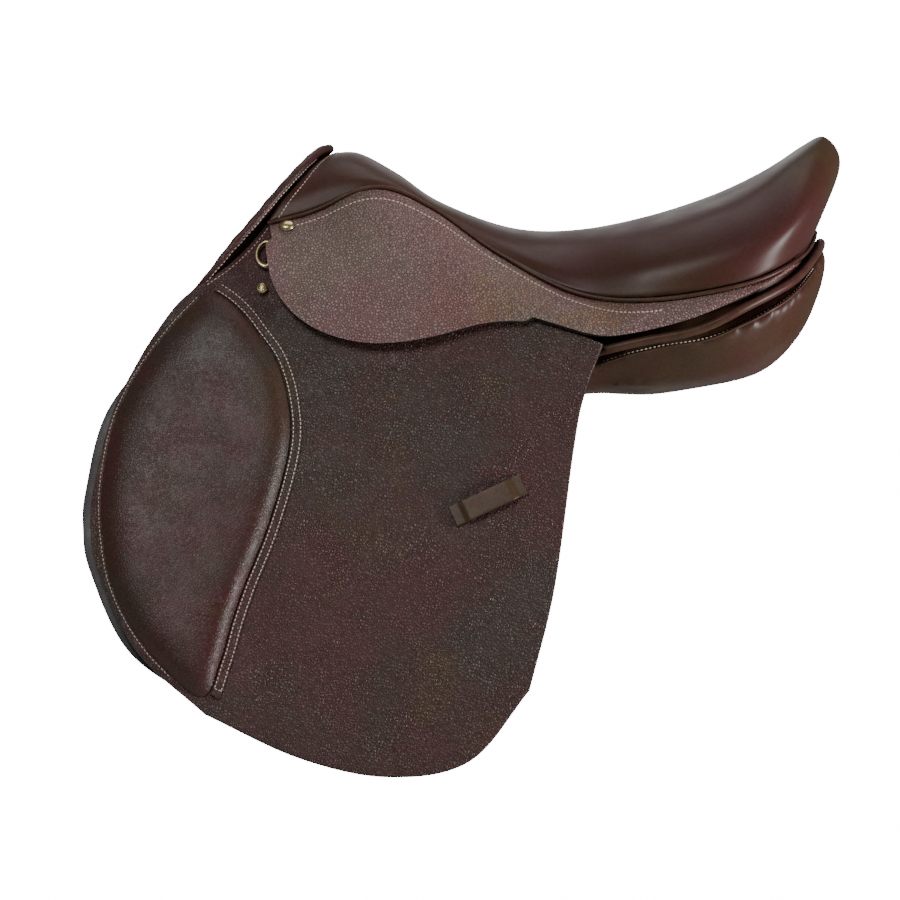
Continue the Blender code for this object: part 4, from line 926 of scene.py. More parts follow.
# %% Stirrup bar's frame and window
TREE_BEHIND_FLAP = 8.6
BAR_X, BAR_Z = -148.0, -8.0
BAR_LENGTH = 78.0
BAR_PLATE_HEIGHT = 26.0
BAR_POCKET_DEPTH = 7.0
BAR_POCKET_MARGIN = 5.0
CATCH_LENGTH = 20.0
WINDOW_DEPTH = 60.0


def side_frame(x, z, depth=0.0):
    """A frame on the near side, depth behind the flap's face: rearwards, up the slope, and outwards."""
    back = Vector((1, flap_face(x, z) - flap_face(x + 1, z), 0)).normalized()
    up = Vector((0, flap_face(x, z) - flap_face(x, z + 1), 1)).normalized()
    out = back.cross(up).normalized()
    up = out.cross(back).normalized()
    made = Matrix((back, up, out)).transposed().to_4x4()
    made.translation = Vector((x, -flap_face(x, z) + depth, z))
    return made


def cut_window(piece):
    """Cuts the stirrup bar's window with a block, which is removed again."""
    block = start_from("window_block", bpy.ops.mesh.primitive_cube_add, size=1)
    half = BAR_LENGTH / 2
    low = (-half - BAR_POCKET_MARGIN, -BAR_PLATE_HEIGHT / 2)
    high = (half + CATCH_LENGTH, CATCH_LENGTH + BAR_POCKET_MARGIN)
    place = side_frame(BAR_X, BAR_Z, TREE_BEHIND_FLAP + BAR_POCKET_DEPTH)
    for point in block.data.vertices:
        x = low[0] if point.co.x < 0 else high[0]
        y = low[1] if point.co.y < 0 else high[1]
        point.co = (place @ Vector((x, y, point.co.z * WINDOW_DEPTH))) * MM
    apply_modifier(piece, "BOOLEAN", object=block)
    bpy.data.objects.remove(block)


# %% Flap leather
FLAP_COLUMNS, FLAP_ROWS = 96, 104
flap = lay_grid("left_flap_leather", lambda u, v: on_flap(flap_patch(u, v)), FLAP_COLUMNS, FLAP_ROWS)
face_out(flap, (0, -1, 0))
give_leather(flap, FLAP_LEATHER, FLAP_HIDE, rounding=1.0, levels=0, bevel_segments=3)
cut_window(flap)
smooth_shading(flap, 60)
print("flap faces:", len(flap.data.polygons))

# %% Flaps on both sides
FLAP_BEND = 18.0
FLAP_FOLD = Vector((0, -150, FLAP_FOLD_Z))


def bend_at_flap_fold(piece, side):
    bend_at(piece, side, FLAP_FOLD, Vector((0, 0, -FLAP_BEND)))


for side, piece in twins(flap):
    bend_at_flap_fold(piece, side)
    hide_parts(f"{side}_flap_top", f"{side}_flap")
print("both flaps bend over", 2 * FLAP_BEND, "mm")

# %% [markdown]
# ## The knee pads
# A knee pad is foam under a soft hide, sewn down all round its edge. It rises steeply from the seam at
# its rear and more gently at its front, so its rear shoulder catches the light. The grid runs in
# rings from the seam to the crown, which keeps the seam a clean line.

# %% Knee pad's outline and height
KNEE_PAD = [(-268.2, -0.6), (-253.3, -9.9), (-240.4, -22), (-229.2, -36.8), (-218.1, -51.7), (-211.5, -66.6),
            (-206.9, -83.4), (-204.1, -105.6), (-205, -122.4), (-207.8, -137.3), (-212.5, -155.8),
            (-218.1, -174.4), (-223.6, -191.2), (-231, -209.8), (-238.5, -228.3), (-247.8, -255.8),
            (-256, -285), (-270, -314), (-302, -288.4), (-321, -265.6), (-336, -239), (-345.3, -209),
            (-349.5, -163), (-343.8, -118), (-334, -87.5), (-317, -57.2), (-295, -28.4)]
KNEE_PAD_CROWN = 13.0
FRONT_SHOULDER = 10.0
REAR_SHOULDER = 6.5
PAD_SEAT = 0.55
PAD_AROUND, PAD_RINGS = 160, 34
PAD_LINE_STEPS = 600
pad_outline = evenly([along(flat(KNEE_PAD + KNEE_PAD[:1]), t) for t in steps(400)], PAD_AROUND)
pad_centre = sum(pad_outline[:-1], Vector()) / PAD_AROUND
pad_line = np.array([tuple(at(pad_outline, s))[:2] for s in steps(PAD_LINE_STEPS)])
# The outline starts at the pad's top, runs down its rear and comes back up its front
pad_bottom = pad_line[:, 1].argmin()
rear_line, front_line = pad_line[:pad_bottom], pad_line[pad_bottom:]


def pad_height(spot):
    """Height of the pad above its seam, from how far the spot lies inside its front and rear edges."""
    place = np.array([spot.x, spot.y])
    front, rear = (np.linalg.norm(line - place, axis=1).min() for line in (front_line, rear_line))
    return KNEE_PAD_CROWN * (1 - math.exp(-front / FRONT_SHOULDER)) * (1 - math.exp(-rear / REAR_SHOULDER))


def pad_point(share, inwards):
    """A point of the pad's skin: around its outline, and inwards from the seam to the crown."""
    spot = pad_centre.lerp(at(pad_outline, share), 1 - inwards**1.5)
    return on_flap(spot, PAD_SEAT + pad_height(spot))


print("knee pad is", round(length_of(pad_outline)), "mm round its seam")

# %% Knee pad
PAD_LEATHER = 0.5
knee_pad = lay_grid("left_knee_pad_leather", pad_point, PAD_AROUND, PAD_RINGS)
tidy_mesh(knee_pad, 0.05)
apply_modifier(knee_pad, "SMOOTH", factor=0.5, iterations=4)
face_out(knee_pad, (0, -1, 0))
give_leather(knee_pad, PAD_LEATHER, PAD_HIDE, rounding=0, edge=PAD_HIDE)
for side, piece in twins(knee_pad):
    bend_at_flap_fold(piece, side)
    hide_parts(f"{side}_knee_pad_top", f"{side}_knee_pad")
print("knee pad faces:", len(knee_pad.data.polygons))

# %% [markdown]
# ## Knee pad edging
# A narrow strip of the flap's leather covers the pad's rear seam. Two rows of stitches hold it down.

# %% Edging strip
EDGING_WIDTH = 8.0
EDGING_LEATHER = 1.6
EDGING_LIFT = 1.9
EDGING_CROWN = 0.5
EDGING_CLEARANCE = 0.5
EDGING_COLUMNS, EDGING_ROWS = 120, 4
EDGING_SHARES = (0.004, pad_bottom / PAD_LINE_STEPS - 0.01)


def beside(points, distance):
    """A line moved sideways in its own flat plane, to the left of the way that it runs."""
    moved = []
    for i, p in enumerate(points):
        ahead = points[min(i + 1, len(points) - 1)] - points[max(i - 1, 0)]
        moved.append(p + Vector((-ahead.y, ahead.x, 0)).normalized() * distance)
    return moved


pad_rear_edge = evenly([at(pad_outline, s) for s in steps(EDGING_COLUMNS, *EDGING_SHARES)], EDGING_COLUMNS)
inner_edge, outer_edge = (beside(pad_rear_edge, EDGING_CLEARANCE + d) for d in (0, EDGING_WIDTH))


def edging_point(u, v):
    spot = at(inner_edge, u).lerp(at(outer_edge, u), v)
    return on_flap(spot, EDGING_LIFT + EDGING_CROWN * math.sin(math.pi * v))


edging = lay_grid("left_edging_leather", edging_point, EDGING_COLUMNS, EDGING_ROWS)
face_out(edging, (0, -1, 0))
give_leather(edging, EDGING_LEATHER, FLAP_HIDE, rounding=0.5)
for side, piece in twins(edging):
    bend_at_flap_fold(piece, side)
    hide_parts(f"{side}_knee_edging")
print("edging is", round(length_of(pad_rear_edge)), "mm long")

# %% [markdown]
# ## Keepers
# The keeper is a short loop that holds the stirrup leather's end down on the flap. Its ends are fixed
# down, and its middle stands a little proud.

# %% Keeper
KEEPER_CENTRE = (-53.3, -163.5)
KEEPER_TILT = math.radians(25.2)
KEEPER_LENGTH = 60.0
KEEPER_WIDTH = 16.5
KEEPER_LEATHER = 2.4
KEEPER_RISE = 2.6
KEEPER_GAP = 0.3
KEEPER_FIXED_SHARE = 0.11
KEEPER_SLOPE_SHARE = 0.1


def keeper_spot(u, v):
    s, w = (u - 0.5) * KEEPER_LENGTH, (v - 0.5) * KEEPER_WIDTH
    x = KEEPER_CENTRE[0] + s * math.cos(KEEPER_TILT) - w * math.sin(KEEPER_TILT)
    z = KEEPER_CENTRE[1] + s * math.sin(KEEPER_TILT) + w * math.cos(KEEPER_TILT)
    rise = KEEPER_RISE * gentle((min(u, 1 - u) - KEEPER_FIXED_SHARE) / KEEPER_SLOPE_SHARE)
    return on_flap((x, z, 0), KEEPER_GAP + rise + KEEPER_LEATHER)


keeper = lay_grid("left_keeper_leather", keeper_spot, 44, 8)
face_out(keeper, (0, -1, 0))
give_leather(keeper, KEEPER_LEATHER, KEEPER_HIDE, rounding=0.7)
for side, piece in twins(keeper):
    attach(piece, f"{side}_flap")
    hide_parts(f"{side}_keeper")
print("keeper faces:", len(keeper.data.polygons))

# %% [markdown]
# ## Sweat flaps
# The sweat flap lies between the horse and the girth straps. Only its dark front edge shows beside the
# flap.

# %% Sweat flap
SWEAT_FLAP_LEATHER = 3.0
SWEAT_FLAP_BEHIND_FLAP = 21.5
SWEAT_FRONT = [(-302, -37), (-347, -95), (-362.5, -156), (-364, -186), (-358, -218), (-327, -279),
               (-266, -321)]
SWEAT_BOTTOM = [(-266, -321), (-200, -349), (-128, -356), (-72, -345), (-34, -300)]
SWEAT_REAR = [(12, -37), (0, -110), (-14, -210), (-34, -300)]
SWEAT_TOP = [(-302, -37), (12, -37)]
sweat_patch = patch(*(outline_curve(edge) for edge in (SWEAT_TOP, SWEAT_BOTTOM, SWEAT_FRONT, SWEAT_REAR)))


def sweat_point(u, v):
    return on_flap(sweat_patch(u, v), -SWEAT_FLAP_BEHIND_FLAP)


sweat_flap = lay_grid("left_sweat_flap_leather", sweat_point, 60, 60)
face_out(sweat_flap, (0, -1, 0))
give_leather(sweat_flap, SWEAT_FLAP_LEATHER, SWEAT_HIDE, rounding=0.8, levels=0)
for side, piece in twins(sweat_flap):
    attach(piece, "saddle")
    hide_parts(f"{side}_sweat_flap")
print("sweat flap faces:", len(sweat_flap.data.polygons))

# %% [markdown]
# ## The panels
# The panels are long leather cushions stuffed with wool, and they carry the saddle on the horse's back. A
# closed skin is lofted from cross sections, shrunk a little, remeshed evenly, and then blown up by a short
# cloth simulation, which gives it the tight, slightly uneven swell of stuffed leather.

# %% Panel sections
# Each station has its x, three places as half width and height, and its depth
PANEL_STATIONS = [
    (-256, (52, 14), (70, -25), (88, -75), 14),
    (-225, (42, 40), (75, -20), (99, -98), 26),
    (-150, (34, 46), (82, -16), (109, -104), 32),
    (-80, (30, 16), (84, -24), (113, -98), 36),
    (-10, (30, 2), (83, -30), (119, -84), 42),
    (60, (30, 2), (84, -15), (136, -45), 70),
    (115, (28, 8), (80, -4), (137, -37), 75),
    (160, (24, 18), (66, 4), (125, -17), 69),
    (190, (20, 30), (50, 21), (101, 3), 59),
    (206, (18, 33), (40, 28), (66, 20), 34),
    (213, (16, 35), (28, 33), (46, 28), 12),
]
PANEL_COLUMNS, PANEL_AROUND = 72, 48
PANEL_SHRINK = 1.0
PANEL_SWELL = 3.8
PANEL_VOXEL = 5.0


def panel_station(t):
    """One cross section of the panel at t from pommel to cantle, as three spine points and its depth."""
    inner = along([Vector((s[0], *s[1])) for s in PANEL_STATIONS], t)
    middle = along([Vector((s[4], *s[2])) for s in PANEL_STATIONS], t)
    outer = along([Vector((0, *s[3])) for s in PANEL_STATIONS], t)
    spine = [Vector((inner.x, -p.y, p.z)) for p in (inner, middle, outer)]
    return spine, middle.x


def panel_point(t, w):
    """A point on the panel's skin: along the side against the tree, then back along the bearing side."""
    spine, depth = panel_station(t)
    s = 2 * w if w <= 0.5 else 2 - 2 * w
    place = along(spine, s)
    if w <= 0.5:
        return place
    ahead = (along(spine, min(s + 0.02, 1)) - along(spine, max(s - 0.02, 0))).normalized()
    into = Vector((0, -ahead.z, ahead.y))
    if into.z > 0 or into.y < 0:
        into = -into
    full = max(math.sin(math.pi * (0.02 + 0.96 * s)), 0) ** 0.38
    return place + into * depth * full


def close_ends(piece):
    """Fills the open ends of a lofted skin."""
    edit_all(piece)
    bpy.ops.mesh.select_mode(type="EDGE")
    bpy.ops.mesh.select_all(action="DESELECT")
    bpy.ops.mesh.select_non_manifold()
    bpy.ops.mesh.edge_face_add()
    bpy.ops.mesh.select_all(action="SELECT")
    bpy.ops.mesh.normals_make_consistent(inside=False)
    leave_edit()


# %% Cloth simulation that swells a stuffed skin
SWELL_FRAMES = 20
SWELL_PRESSURE = 4.0


def swell(piece, voxel, cap):
    """Remeshes a closed skin and blows it up as cloth. No point moves inwards, or out by more than cap."""
    apply_modifier(piece, "REMESH", mode="VOXEL", voxel_size=voxel * MM)
    rest = [v.co.copy() for v in piece.data.vertices]
    select_only(piece)
    cloth = piece.modifiers.new("stuffing", "CLOTH")
    cloth.settings.use_pressure = True
    cloth.settings.uniform_pressure_force = SWELL_PRESSURE
    cloth.settings.effector_weights.gravity = 0
    cloth.collision_settings.use_collision = False
    for number in range(1, SWELL_FRAMES + 1):
        bpy.context.scene.frame_set(number)
    bpy.ops.object.modifier_apply(modifier=cloth.name)
    bpy.context.scene.frame_set(1)
    for point, start in zip(piece.data.vertices, rest):
        move = point.co - start
        inward = min(0, move.dot(point.normal))
        move -= point.normal * inward
        point.co = start + move
        if move.length > cap * MM:
            point.co = start + move.normalized() * cap * MM
    apply_modifier(piece, "SMOOTH", factor=0.5, iterations=3)
    subdivide_smoothly(piece)
    smooth_shading(piece, 70)


panel = lay_grid("left_panel_leather", panel_point, PANEL_COLUMNS, PANEL_AROUND)
tidy_mesh(panel, 0.05)
close_ends(panel)
put_on(panel, SEAT_HIDE)
edit_all(panel)
bpy.ops.transform.shrink_fatten(value=-PANEL_SHRINK * MM)
leave_edit()
swell(panel, PANEL_VOXEL, PANEL_SWELL)
print("panel faces:", len(panel.data.polygons))

# %% [markdown]
# Behind the flap, the panel's cover is gathered into the welt, so small pleats run away from the seam.
# They fade out within a few centimetres.

# %% Gathers below the panel's welt
PANEL_WELT = [(24, 127, -52), (44, 136, -47), (66, 139, -42), (109, 140, -33), (146, 134, -15), (182, 107, 5),
              (202, 60, 27), (208, 0, 37)]
WELT_STEPS = 120
GATHER_PITCH = 9.0
GATHER_DEPTH = 1.3
GATHER_REACH = 26.0
GATHERS_FROM_X = 125.0
GATHERS_GROW_OVER = 40.0
near_welt = evenly([mirrored(along(PANEL_WELT, t, "last")) for t in steps(WELT_STEPS)], WELT_STEPS)
welt_step = length_of(near_welt) / len(near_welt)
for point in panel.data.vertices:
    spot = point.co / MM
    nearest = min(range(len(near_welt)), key=lambda i: (near_welt[i] - spot).length_squared)
    reach = (near_welt[nearest] - spot).length
    if reach < GATHER_REACH and spot.x > GATHERS_FROM_X:
        fade = (1 - reach / GATHER_REACH) ** 1.5 * min(1, (spot.x - GATHERS_FROM_X) / GATHERS_GROW_OVER)
        travelled = nearest * welt_step
        # A slow second wave keeps the pleats from standing at even distances
        wave = math.sin(math.tau * travelled / GATHER_PITCH + 0.9 * math.sin(travelled * 0.21))
        point.co -= point.normal * (0.5 + 0.5 * wave) * GATHER_DEPTH * fade * MM
for side, piece in twins(panel):
    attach(piece, "saddle")
    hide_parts(f"{side}_panel")
print("pleats every", GATHER_PITCH, "mm or so")

# %% Welt round the panel's top
PANEL_WELT_RADIUS = 3.6
panel_welt = cord("panel_welt_cord", across_middle(near_welt), PANEL_WELT_RADIUS, SEAT_HIDE)
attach(panel_welt, "saddle")
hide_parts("panel_welt")
print("panel welt runs", round(2 * length_of(near_welt)), "mm")

# %% [markdown]
# ## The pommel facing and the cantle's back
# A stuffed roll finishes the front edge of the arch, with a flange that lines it. Its cover is gathered a
# little, so it swells between the gathers. The cantle's back is a plain band between seat and panel.

# %% Front facing
FRONT_ROLL = [(-177, 0, 110.5), (-185, 22, 107), (-198, 45, 94), (-217, 64, 72), (-235, 75, 50),
              (-253, 82, 29), (-269, 85, 9), (-284, 80, -7)]
FRONT_ROLL_RADIUS = 3.9
ROLL_TAPER = 0.5
ROLL_TAPERED_ENDS = 1 / 7
ROLL_STEPS = 90
ROLL_GATHERS = 0.07
GATHER_COLUMNS = 12
FACING_REACH = 20.0
FACING_LEATHER = 2.4
FACING_COLUMNS = 240
FACING_OPENING = math.radians(35)
ARCH_HEART = Vector((-215, 0, 10))
near_roll = [mirrored(along(FRONT_ROLL, t, "first")) for t in steps(ROLL_STEPS)][::-1]
roll_path = evenly(across_middle(near_roll), FACING_COLUMNS)
facing_outline = [(FRONT_ROLL_RADIUS * math.cos(a), FRONT_ROLL_RADIUS * math.sin(a))
                  for a in steps(16, FACING_OPENING, math.tau - FACING_OPENING)]
facing_outline += [(FACING_REACH, -FACING_LEATHER / 2), (FACING_REACH, FACING_LEATHER / 2), facing_outline[0]]


def facing_axes(i):
    """The ways inwards to the arch and across the roll, at column i of its path."""
    ahead = (roll_path[min(i + 1, FACING_COLUMNS)] - roll_path[max(i - 1, 0)]).normalized()
    inwards = ARCH_HEART - roll_path[i]
    inwards = (inwards - ahead * inwards.dot(ahead)).normalized()
    return inwards, ahead.cross(inwards)


def facing_point(u, v):
    i = round(u * FACING_COLUMNS)
    inwards, across = facing_axes(i)
    a, b = facing_outline[round(v * (len(facing_outline) - 1))]
    swelling = ROLL_TAPER + (1 - ROLL_TAPER) * min(1, min(u, 1 - u) / ROLL_TAPERED_ENDS)
    if a < FRONT_ROLL_RADIUS:
        ripple = math.cos(math.tau * i / GATHER_COLUMNS) * (0.4 + abs(u - 0.5) * 1.6)
        swelling *= 1 + ROLL_GATHERS * (ripple - 1)
    return roll_path[i] + (inwards * a + across * b) * swelling


facing = lay_grid("facing_leather", facing_point, FACING_COLUMNS, len(facing_outline) - 1)
tidy_mesh(facing, 0.02)
close_ends(facing)
put_on(facing, PAD_HIDE)
round_edges(facing, 0.5, LEATHER_CORNER)
smooth_shading(facing, 60)
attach(facing, "saddle")
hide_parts("front_facing")
print("facing faces:", len(facing.data.polygons))

# %% Cantle back
CANTLE_BACK_INSET = 5.6
CANTLE_BACK_LEAN = 1.4
CANTLE_BACK_LEATHER = 2.5
CANTLE_SEAM_FROM = 0.8
CANTLE_WELT_FROM = 0.6
CANTLE_HEART_X = 90.0


def cantle_back_point(u, v):
    side = 1 if u < 0.5 else -1
    across = 1 - abs(2 * u - 1)
    seam = seam_point(CANTLE_SEAM_FROM + (1 - CANTLE_SEAM_FROM) * across, SEAT_WELT_RADIUS)
    low = mirrored(along(PANEL_WELT, CANTLE_WELT_FROM + (1 - CANTLE_WELT_FROM) * across, "last"))
    place = seam.lerp(low, v)
    out = Vector((place.x - CANTLE_HEART_X, place.y, 0)).normalized()
    place -= out * (CANTLE_BACK_INSET - CANTLE_BACK_LEAN * v)
    return Vector((place.x, 0 if across > 0.999 else place.y * side, place.z))


cantle_back = lay_grid("cantle_back_leather", cantle_back_point, 80, 6)
face_out(cantle_back, (1, 0, 0))
give_leather(cantle_back, CANTLE_BACK_LEATHER, SEAT_HIDE, rounding=0.6, levels=0)
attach(cantle_back, "saddle")
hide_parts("cantle_back")
print("cantle back faces:", len(cantle_back.data.polygons))

# %% [markdown]
# ## Straps and the hidden pieces
# Straps, guards, chapes, webs and foam already have their true outlines and holes in the CAD. A merged
# copy of each gets rounded edges and its own finish, which is quicker than modelling it again.

# %% Helper that dresses a copy of a CAD node
COPY_CORNER = 40


def dressed(node, name, finish, rounding, body="saddle", levels=0):
    made = in_scene(name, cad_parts[node].data.copy())
    put_on(made, finish)
    select_only(made)
    if made.data.has_custom_normals:
        bpy.ops.mesh.customdata_custom_splitnormals_clear()
    edit_all(made)
    bpy.ops.mesh.remove_doubles(threshold=0.005 * MM)
    bpy.ops.mesh.dissolve_limited(angle_limit=math.radians(1))
    leave_edit()
    if rounding:
        round_edges(made, rounding, COPY_CORNER)
    if levels:
        subdivide_smoothly(made, levels)
    smooth_shading(made, 50)
    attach(made, body)
    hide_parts(node)
    print(name, "has", len(made.data.polygons), "faces")
    return made


# %% Straps, guards, chapes, webs and foam
for side in ("left", "right"):
    for name in ("front", "middle", "rear"):
        strap = f"{side}_{name}_strap"
        dressed(f"{side}_{name}_girth_strap", f"{strap}_leather", STRAP_HIDE, 0.5, strap)
    dressed(f"{side}_buckle_guard", f"{side}_guard_leather", STRAP_HIDE, 0.4, f"{side}_buckle_guard")
    dressed(f"{side}_dee_chape", f"{side}_chape_leather", SWEAT_HIDE, 0.3)
    for name in ("front", "rear"):
        dressed(f"{side}_{name}_strap_web", f"{side}_{name}_web", WEBBING, 0.15)
for name in ("long", "cross"):
    dressed(f"seat_web_{name}", f"seat_{name}_web", WEBBING, 0.15)
foam = dressed("seat_foam", "seat_foam_block", FOAM, 0)
for point in foam.data.vertices:
    point.co = eased(point.co / MM) * MM

# %% [markdown]
# ## Brass
# The nail has a high polished dome over a thin rim. The stud is a small turned cup. The dee is round wire.

# %% Helper that turns a head from a disc
def turned_head(name, place, outwards, rings):
    """A brass head: its rim is extruded up ring by ring, each with its radius and height."""
    made = start_from(name, bpy.ops.mesh.primitive_circle_add, vertices=40, radius=rings[0][0] * MM,
                      fill_type="NOTHING")
    edit_all(made)
    for (radius, height), (last_radius, last_height) in zip(rings[1:], rings):
        bpy.ops.mesh.extrude_region_move(
            TRANSFORM_OT_translate={"value": (0, 0, (height - last_height) * MM)})
        bpy.ops.transform.resize(value=(radius / last_radius, radius / last_radius, 1))
    bpy.ops.mesh.edge_face_add()
    leave_edit()
    close_ends(made)
    turn = outwards.to_track_quat("Z", "Y").to_matrix().to_4x4()
    turn.translation = place * MM
    made.data.transform(turn)
    put_on(made, BRASS)
    smooth_shading(made, 50)
    return made


# %% Nails at the pommel, studs below them, and dees
NAIL_RADIUS = 6.3
NAIL_HEIGHT = 3.4
NAIL_RIM = 0.8
NAIL_AT = (0.044, 0.34)
STUD_RADIUS = 4.2
STUD_HEIGHT = 4.5
STUD_LIFT = 0.4
STUD_X, STUD_Z = -227.0, -2.0

t, f = NAIL_AT
rearwards = skirt_top_point(t + 0.01, f) - skirt_top_point(t - 0.01, f)
downwards = skirt_top_point(t, f + 0.1) - skirt_top_point(t, f - 0.1)
nail_out = rearwards.cross(downwards).normalized()
if nail_out.y > 0:
    nail_out = -nail_out
dome = [(NAIL_RADIUS, 0), (NAIL_RADIUS, 0.5), (NAIL_RADIUS * 0.95, NAIL_RIM)]
dome += [(NAIL_RADIUS * 0.93 * math.cos(a), NAIL_RIM + (NAIL_HEIGHT - NAIL_RIM) * math.sin(a))
         for a in steps(9, 0.1, 1.5)]
nail = turned_head("left_nail_head", skirt_top_point(t, f) + nail_out * NAIL_RIM, nail_out, dome)

stud_frame = side_frame(STUD_X, STUD_Z)
stud_out = stud_frame.col[2].to_3d()
# Rings of the cup as shares of its radius, and how far below its top each one lies
cup_rings = [(0.9, STUD_HEIGHT), (1, STUD_HEIGHT - 0.4), (1, 1), (0.86, 0.2), (0.66, 0), (0.52, 0.5),
             (0.4, 1.2), (0.25, 1), (0.08, 0.8)]
cup = [(STUD_RADIUS * share, STUD_HEIGHT - below) for share, below in cup_rings]
stud = turned_head("left_stud_head", stud_frame.translation + stud_out * STUD_LIFT, stud_out, cup)

for node, head in (("pommel_nail", nail), ("flap_stud", stud)):
    for side, piece in twins(head):
        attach(piece, "saddle")
        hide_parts(f"{side}_{node}")
for side in ("left", "right"):
    dressed(f"{side}_dee", f"{side}_dee_wire", BRASS, 0, f"{side}_dee", levels=2)
print("nail and stud heads:", len(nail.data.polygons), len(stud.data.polygons), "faces")

# %% [markdown]
# ## Stitching
# Every row is laid on the finished leather below it: each point of its path moves to the nearest place on
# the piece, and the stitch stands out along the surface there.

# %% Rows laid on a finished piece
ROW_PROUD = 0.1
ROW_STEPS = 160


def surface_of(piece):
    points = [v.co / MM for v in piece.data.vertices]
    return BVHTree.FromPolygons(points, [face.vertices for face in piece.data.polygons])


def sew_on(piece, name, path, thickness=1.0):
    """A row of stitches on a piece, along the path's nearest places on it."""
    skin = surface_of(piece)
    laid = [hit[0] + hit[1] * ROW_PROUD for hit in (skin.find_nearest(p) for p in path)]
    return sew(name, laid, lambda p: skin.find_nearest(p)[1], thickness)


def first_part(path, distance):
    """The part of a path up to a distance along it, in millimetres."""
    total = length_of(path)
    even = evenly(path, 200)
    return [at(even, s / total) for s in steps(200, 0, distance)]


def ride_on_saddle(piece, side):
    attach(piece, "saddle")


# %% Paths of the rows on skirt, edging, flap, facing, knee pad and seat
SKIRT_ROW_INSET = 9.5
SKIRT_ROW_PART = (0.06, 0.685)
FLAP_ROW_INSET = 3.6
FLAP_ROW_LENGTH = 66.0
PAD_ROW_INSET = 1.6
PAD_ROW_PART = (0.53, 0.985)
SEAT_ROW_T = 0.021
EDGING_ROW_END = 0.985
EDGING_ROWS_ACROSS = (0.16, 0.84)
FACING_ROW_PART = slice(4, 74)
FACING_ROW_SHIFT = Vector((2.6, -2.8, -2.6))

skirt_row = []
for t in steps(ROW_STEPS, *SKIRT_ROW_PART):
    down = skirt_column(t)
    skirt_row.append(at(evenly(down, 60), min(1, SKIRT_ROW_INSET / length_of(down))))
inner_row, outer_row = ([edging_point(u, v) for u in steps(120, 0.01, EDGING_ROW_END)]
                        for v in EDGING_ROWS_ACROSS)
cross_row = [edging_point(EDGING_ROW_END, v) for v in steps(6, 0.1, 0.9)]
flap_row = [on_flap(p) for p in first_part(beside(flap_front, FLAP_ROW_INSET), FLAP_ROW_LENGTH)]
facing_row = [p + FACING_ROW_SHIFT for p in near_roll[FACING_ROW_PART]]
pad_front = [at(pad_outline, s) for s in steps(ROW_STEPS, *PAD_ROW_PART)]
pad_row = [on_flap(p) for p in beside(pad_front, PAD_ROW_INSET)]
seat_row = [seat_point(SEAT_ROW_T, r) for r in steps(80, 0.1, 0.99)]
print("skirt row runs", round(length_of(skirt_row)), "mm")

# %% Rows on both sides, each carried as the leather below it is
left_rows = [
    (bend_at_skirt_fold, sew_on(skirt, "left_skirt_stitches", skirt_row, 1.35)),
    (bend_at_flap_fold, sew_on(edging, "left_edging_stitches_inner", inner_row)),
    (bend_at_flap_fold, sew_on(edging, "left_edging_stitches_outer", outer_row)),
    (bend_at_flap_fold, sew_on(edging, "left_edging_stitches_end", cross_row)),
    (bend_at_flap_fold, sew_on(flap, "left_flap_stitches", flap_row)),
    (ride_on_saddle, sew_on(facing, "left_facing_stitches", facing_row)),
    (bend_at_flap_fold, sew_on(flap, "left_pad_stitches", pad_row)),
    (ride_on_saddle, sew_on(seat, "left_pommel_stitches", seat_row)),
]
for carry, row in left_rows:
    for side, piece in twins(row):
        carry(piece, side)
print(2 * len(left_rows), "rows of stitches")

# %% Panel row and piping
PIPING_RADIUS = 1.2
PIPING_DROP = 7.0
ROW_DROP = 4.2
PIPING_PROUD = 0.6
PIPED_PART = slice(4, 92)
PIPING_SMOOTHING = 12
PIPING_STEPS = 140
panel_skin = surface_of(panel)


def below_welt(drop):
    """The line on the panel a little below its welt, from behind the flap to the cantle's side."""
    line = []
    for p in near_welt[PIPED_PART]:
        place, facing_out, *_ = panel_skin.find_nearest(p + Vector((0, 0, -drop - PANEL_WELT_RADIUS)))
        line.append(place + facing_out * PIPING_PROUD)
    for _ in range(PIPING_SMOOTHING):
        line = [line[0]] + [(a + b + c) / 3 for a, b, c in zip(line, line[1:], line[2:])] + [line[-1]]
    return evenly(line, PIPING_STEPS)


panel_row = sew("left_panel_stitches", below_welt(ROW_DROP), lambda p: panel_skin.find_nearest(p)[1], 1.3)
piping = cord("left_panel_piping", below_welt(PIPING_DROP), PIPING_RADIUS, SEAT_HIDE)
for row in (panel_row, piping):
    for side, piece in twins(row):
        ride_on_saddle(piece, side)
print("panel rows end at", [round(c) for c in below_welt(ROW_DROP)[-1]])

# %% [markdown]
# ## What stays of the CAD
# Steel parts and the tree keep their CAD shapes, which are already the real ones, and get procedural
# finishes.

# %% Finishes for the kept CAD nodes
for side in ("left", "right"):
    for node in ("stirrup_bar", "catch_pin", "bar_catch", "tree_spring"):
        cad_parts[f"{side}_{node}"].data.materials[0] = STEEL
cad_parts["gullet_plate"].data.materials[0] = STEEL
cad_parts["tree"].data.materials[0] = SCRIM
shown = [name for name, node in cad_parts.items() if not node.hide_render]
print("CAD nodes still shown:", sorted(shown))

# %% [markdown]
# ## Studio
# The saddle stands over a pale lit table in an empty white room, and four large soft lights stand round
# it. The key light is high at the front, where the photograph's highlights point. The white room is bright
# to the eye and gives only a little light of its own, so the leather stays dark beside it.

# %% Floor
FLOOR_Z = -0.376
FLOOR_SIZE = 1.5
FLOOR_WHITE = (0.9, 0.9, 0.9, 1)
SEEN_WHITE = 16.0


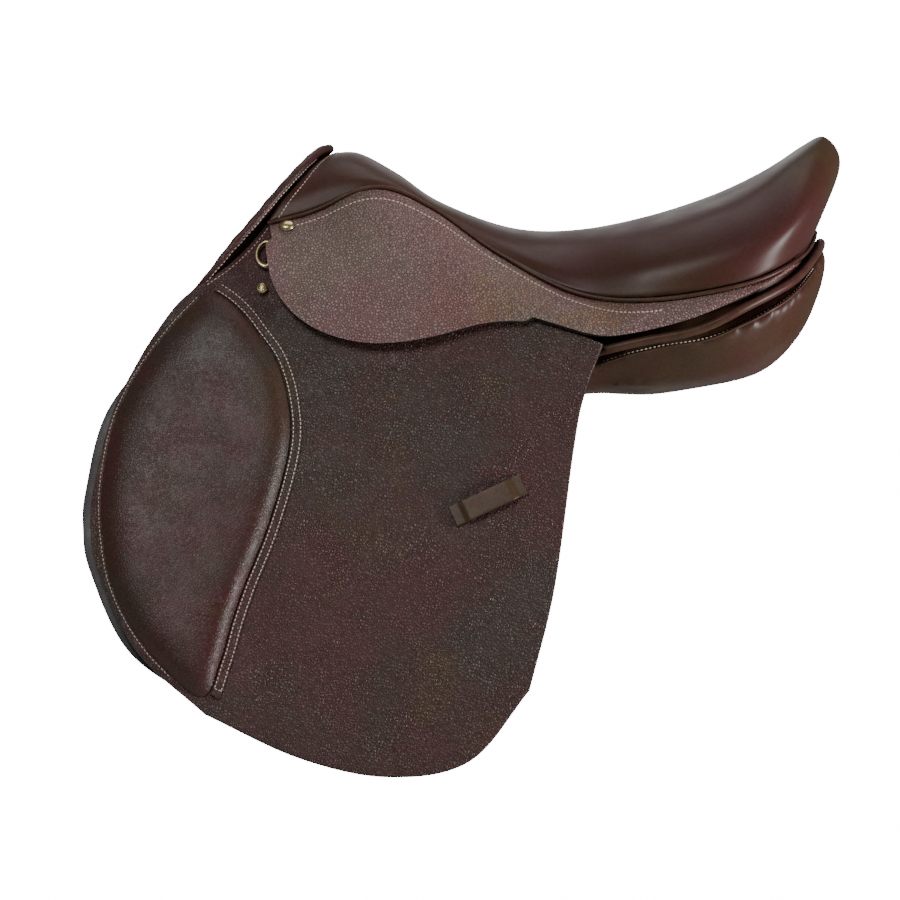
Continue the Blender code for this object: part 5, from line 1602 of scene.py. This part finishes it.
def glow_to_the_eye(tree, own_light):
    """Full white where the camera looks, and own_light for all that it shines on."""
    seen = add(tree, "ShaderNodeLightPath").outputs["Is Camera Ray"]
    return add(tree, "ShaderNodeMapRange", Value=seen, To_Min=own_light, To_Max=SEEN_WHITE).outputs["Result"]


floor = start_from("studio_floor", bpy.ops.mesh.primitive_plane_add, size=FLOOR_SIZE,
                   location=(VIEW_CENTRE[0], 0, FLOOR_Z))
bpy.ops.object.transform_apply(location=True)
paper, paper_nodes, paper_shader = new_material("lit white table")
paper_shader.inputs["Base Color"].default_value = FLOOR_WHITE
paper_shader.inputs["Roughness"].default_value = 0.9
paper_shader.inputs["Emission Color"].default_value = (1, 1, 1, 1)
paper_nodes.links.new(glow_to_the_eye(paper_nodes, 0.0), paper_shader.inputs["Emission Strength"])
put_on(floor, paper)
floor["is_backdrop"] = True
print("floor at", FLOOR_Z, "m")

# %% Lights
ROOM_LIGHT = 0.12


def area_light(name, place, size, watts):
    data = bpy.data.lights.new(name, "AREA")
    data.shape = "RECTANGLE"
    data.size, data.size_y = size
    data.energy = watts
    made = in_scene(name, data)
    made.location = place
    towards = Vector((VIEW_CENTRE[0], 0, VIEW_CENTRE[1])) - made.location
    made.rotation_euler = towards.to_track_quat("-Z", "Y").to_euler()


area_light("key_light", (-1.0, -1.9, 1.6), (1.2, 1.0), 27)
area_light("fill_light", (2.4, -0.95, -0.3), (0.7, 1.1), 75)
area_light("top_light", (0.1, 0.5, 1.9), (1.6, 1.2), 8)
area_light("back_light", (-0.4, 2.2, 0.9), (1.6, 1.2), 5)
world = bpy.context.scene.world or bpy.data.worlds.new("studio")
bpy.context.scene.world = world
world.use_nodes = True
room = world.node_tree
room.nodes["Background"].inputs["Color"].default_value = (1, 1, 1, 1)
room.links.new(glow_to_the_eye(room, ROOM_LIGHT), room.nodes["Background"].inputs["Strength"])
print("four lights and a white room")

# %% [markdown]
# ## Finish
# The dressed saddle must stay the CAD's size, so both boxes are kept side by side.

# %% Keep both boxes and finish
boxes = {"cad": [list(corner) for corner in cad_box], "visual": [list(corner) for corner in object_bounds()]}
for name, (low, high) in boxes.items():
    print(name, [round((b - a) * 1000, 1) for a, b in zip(low, high)], "mm")
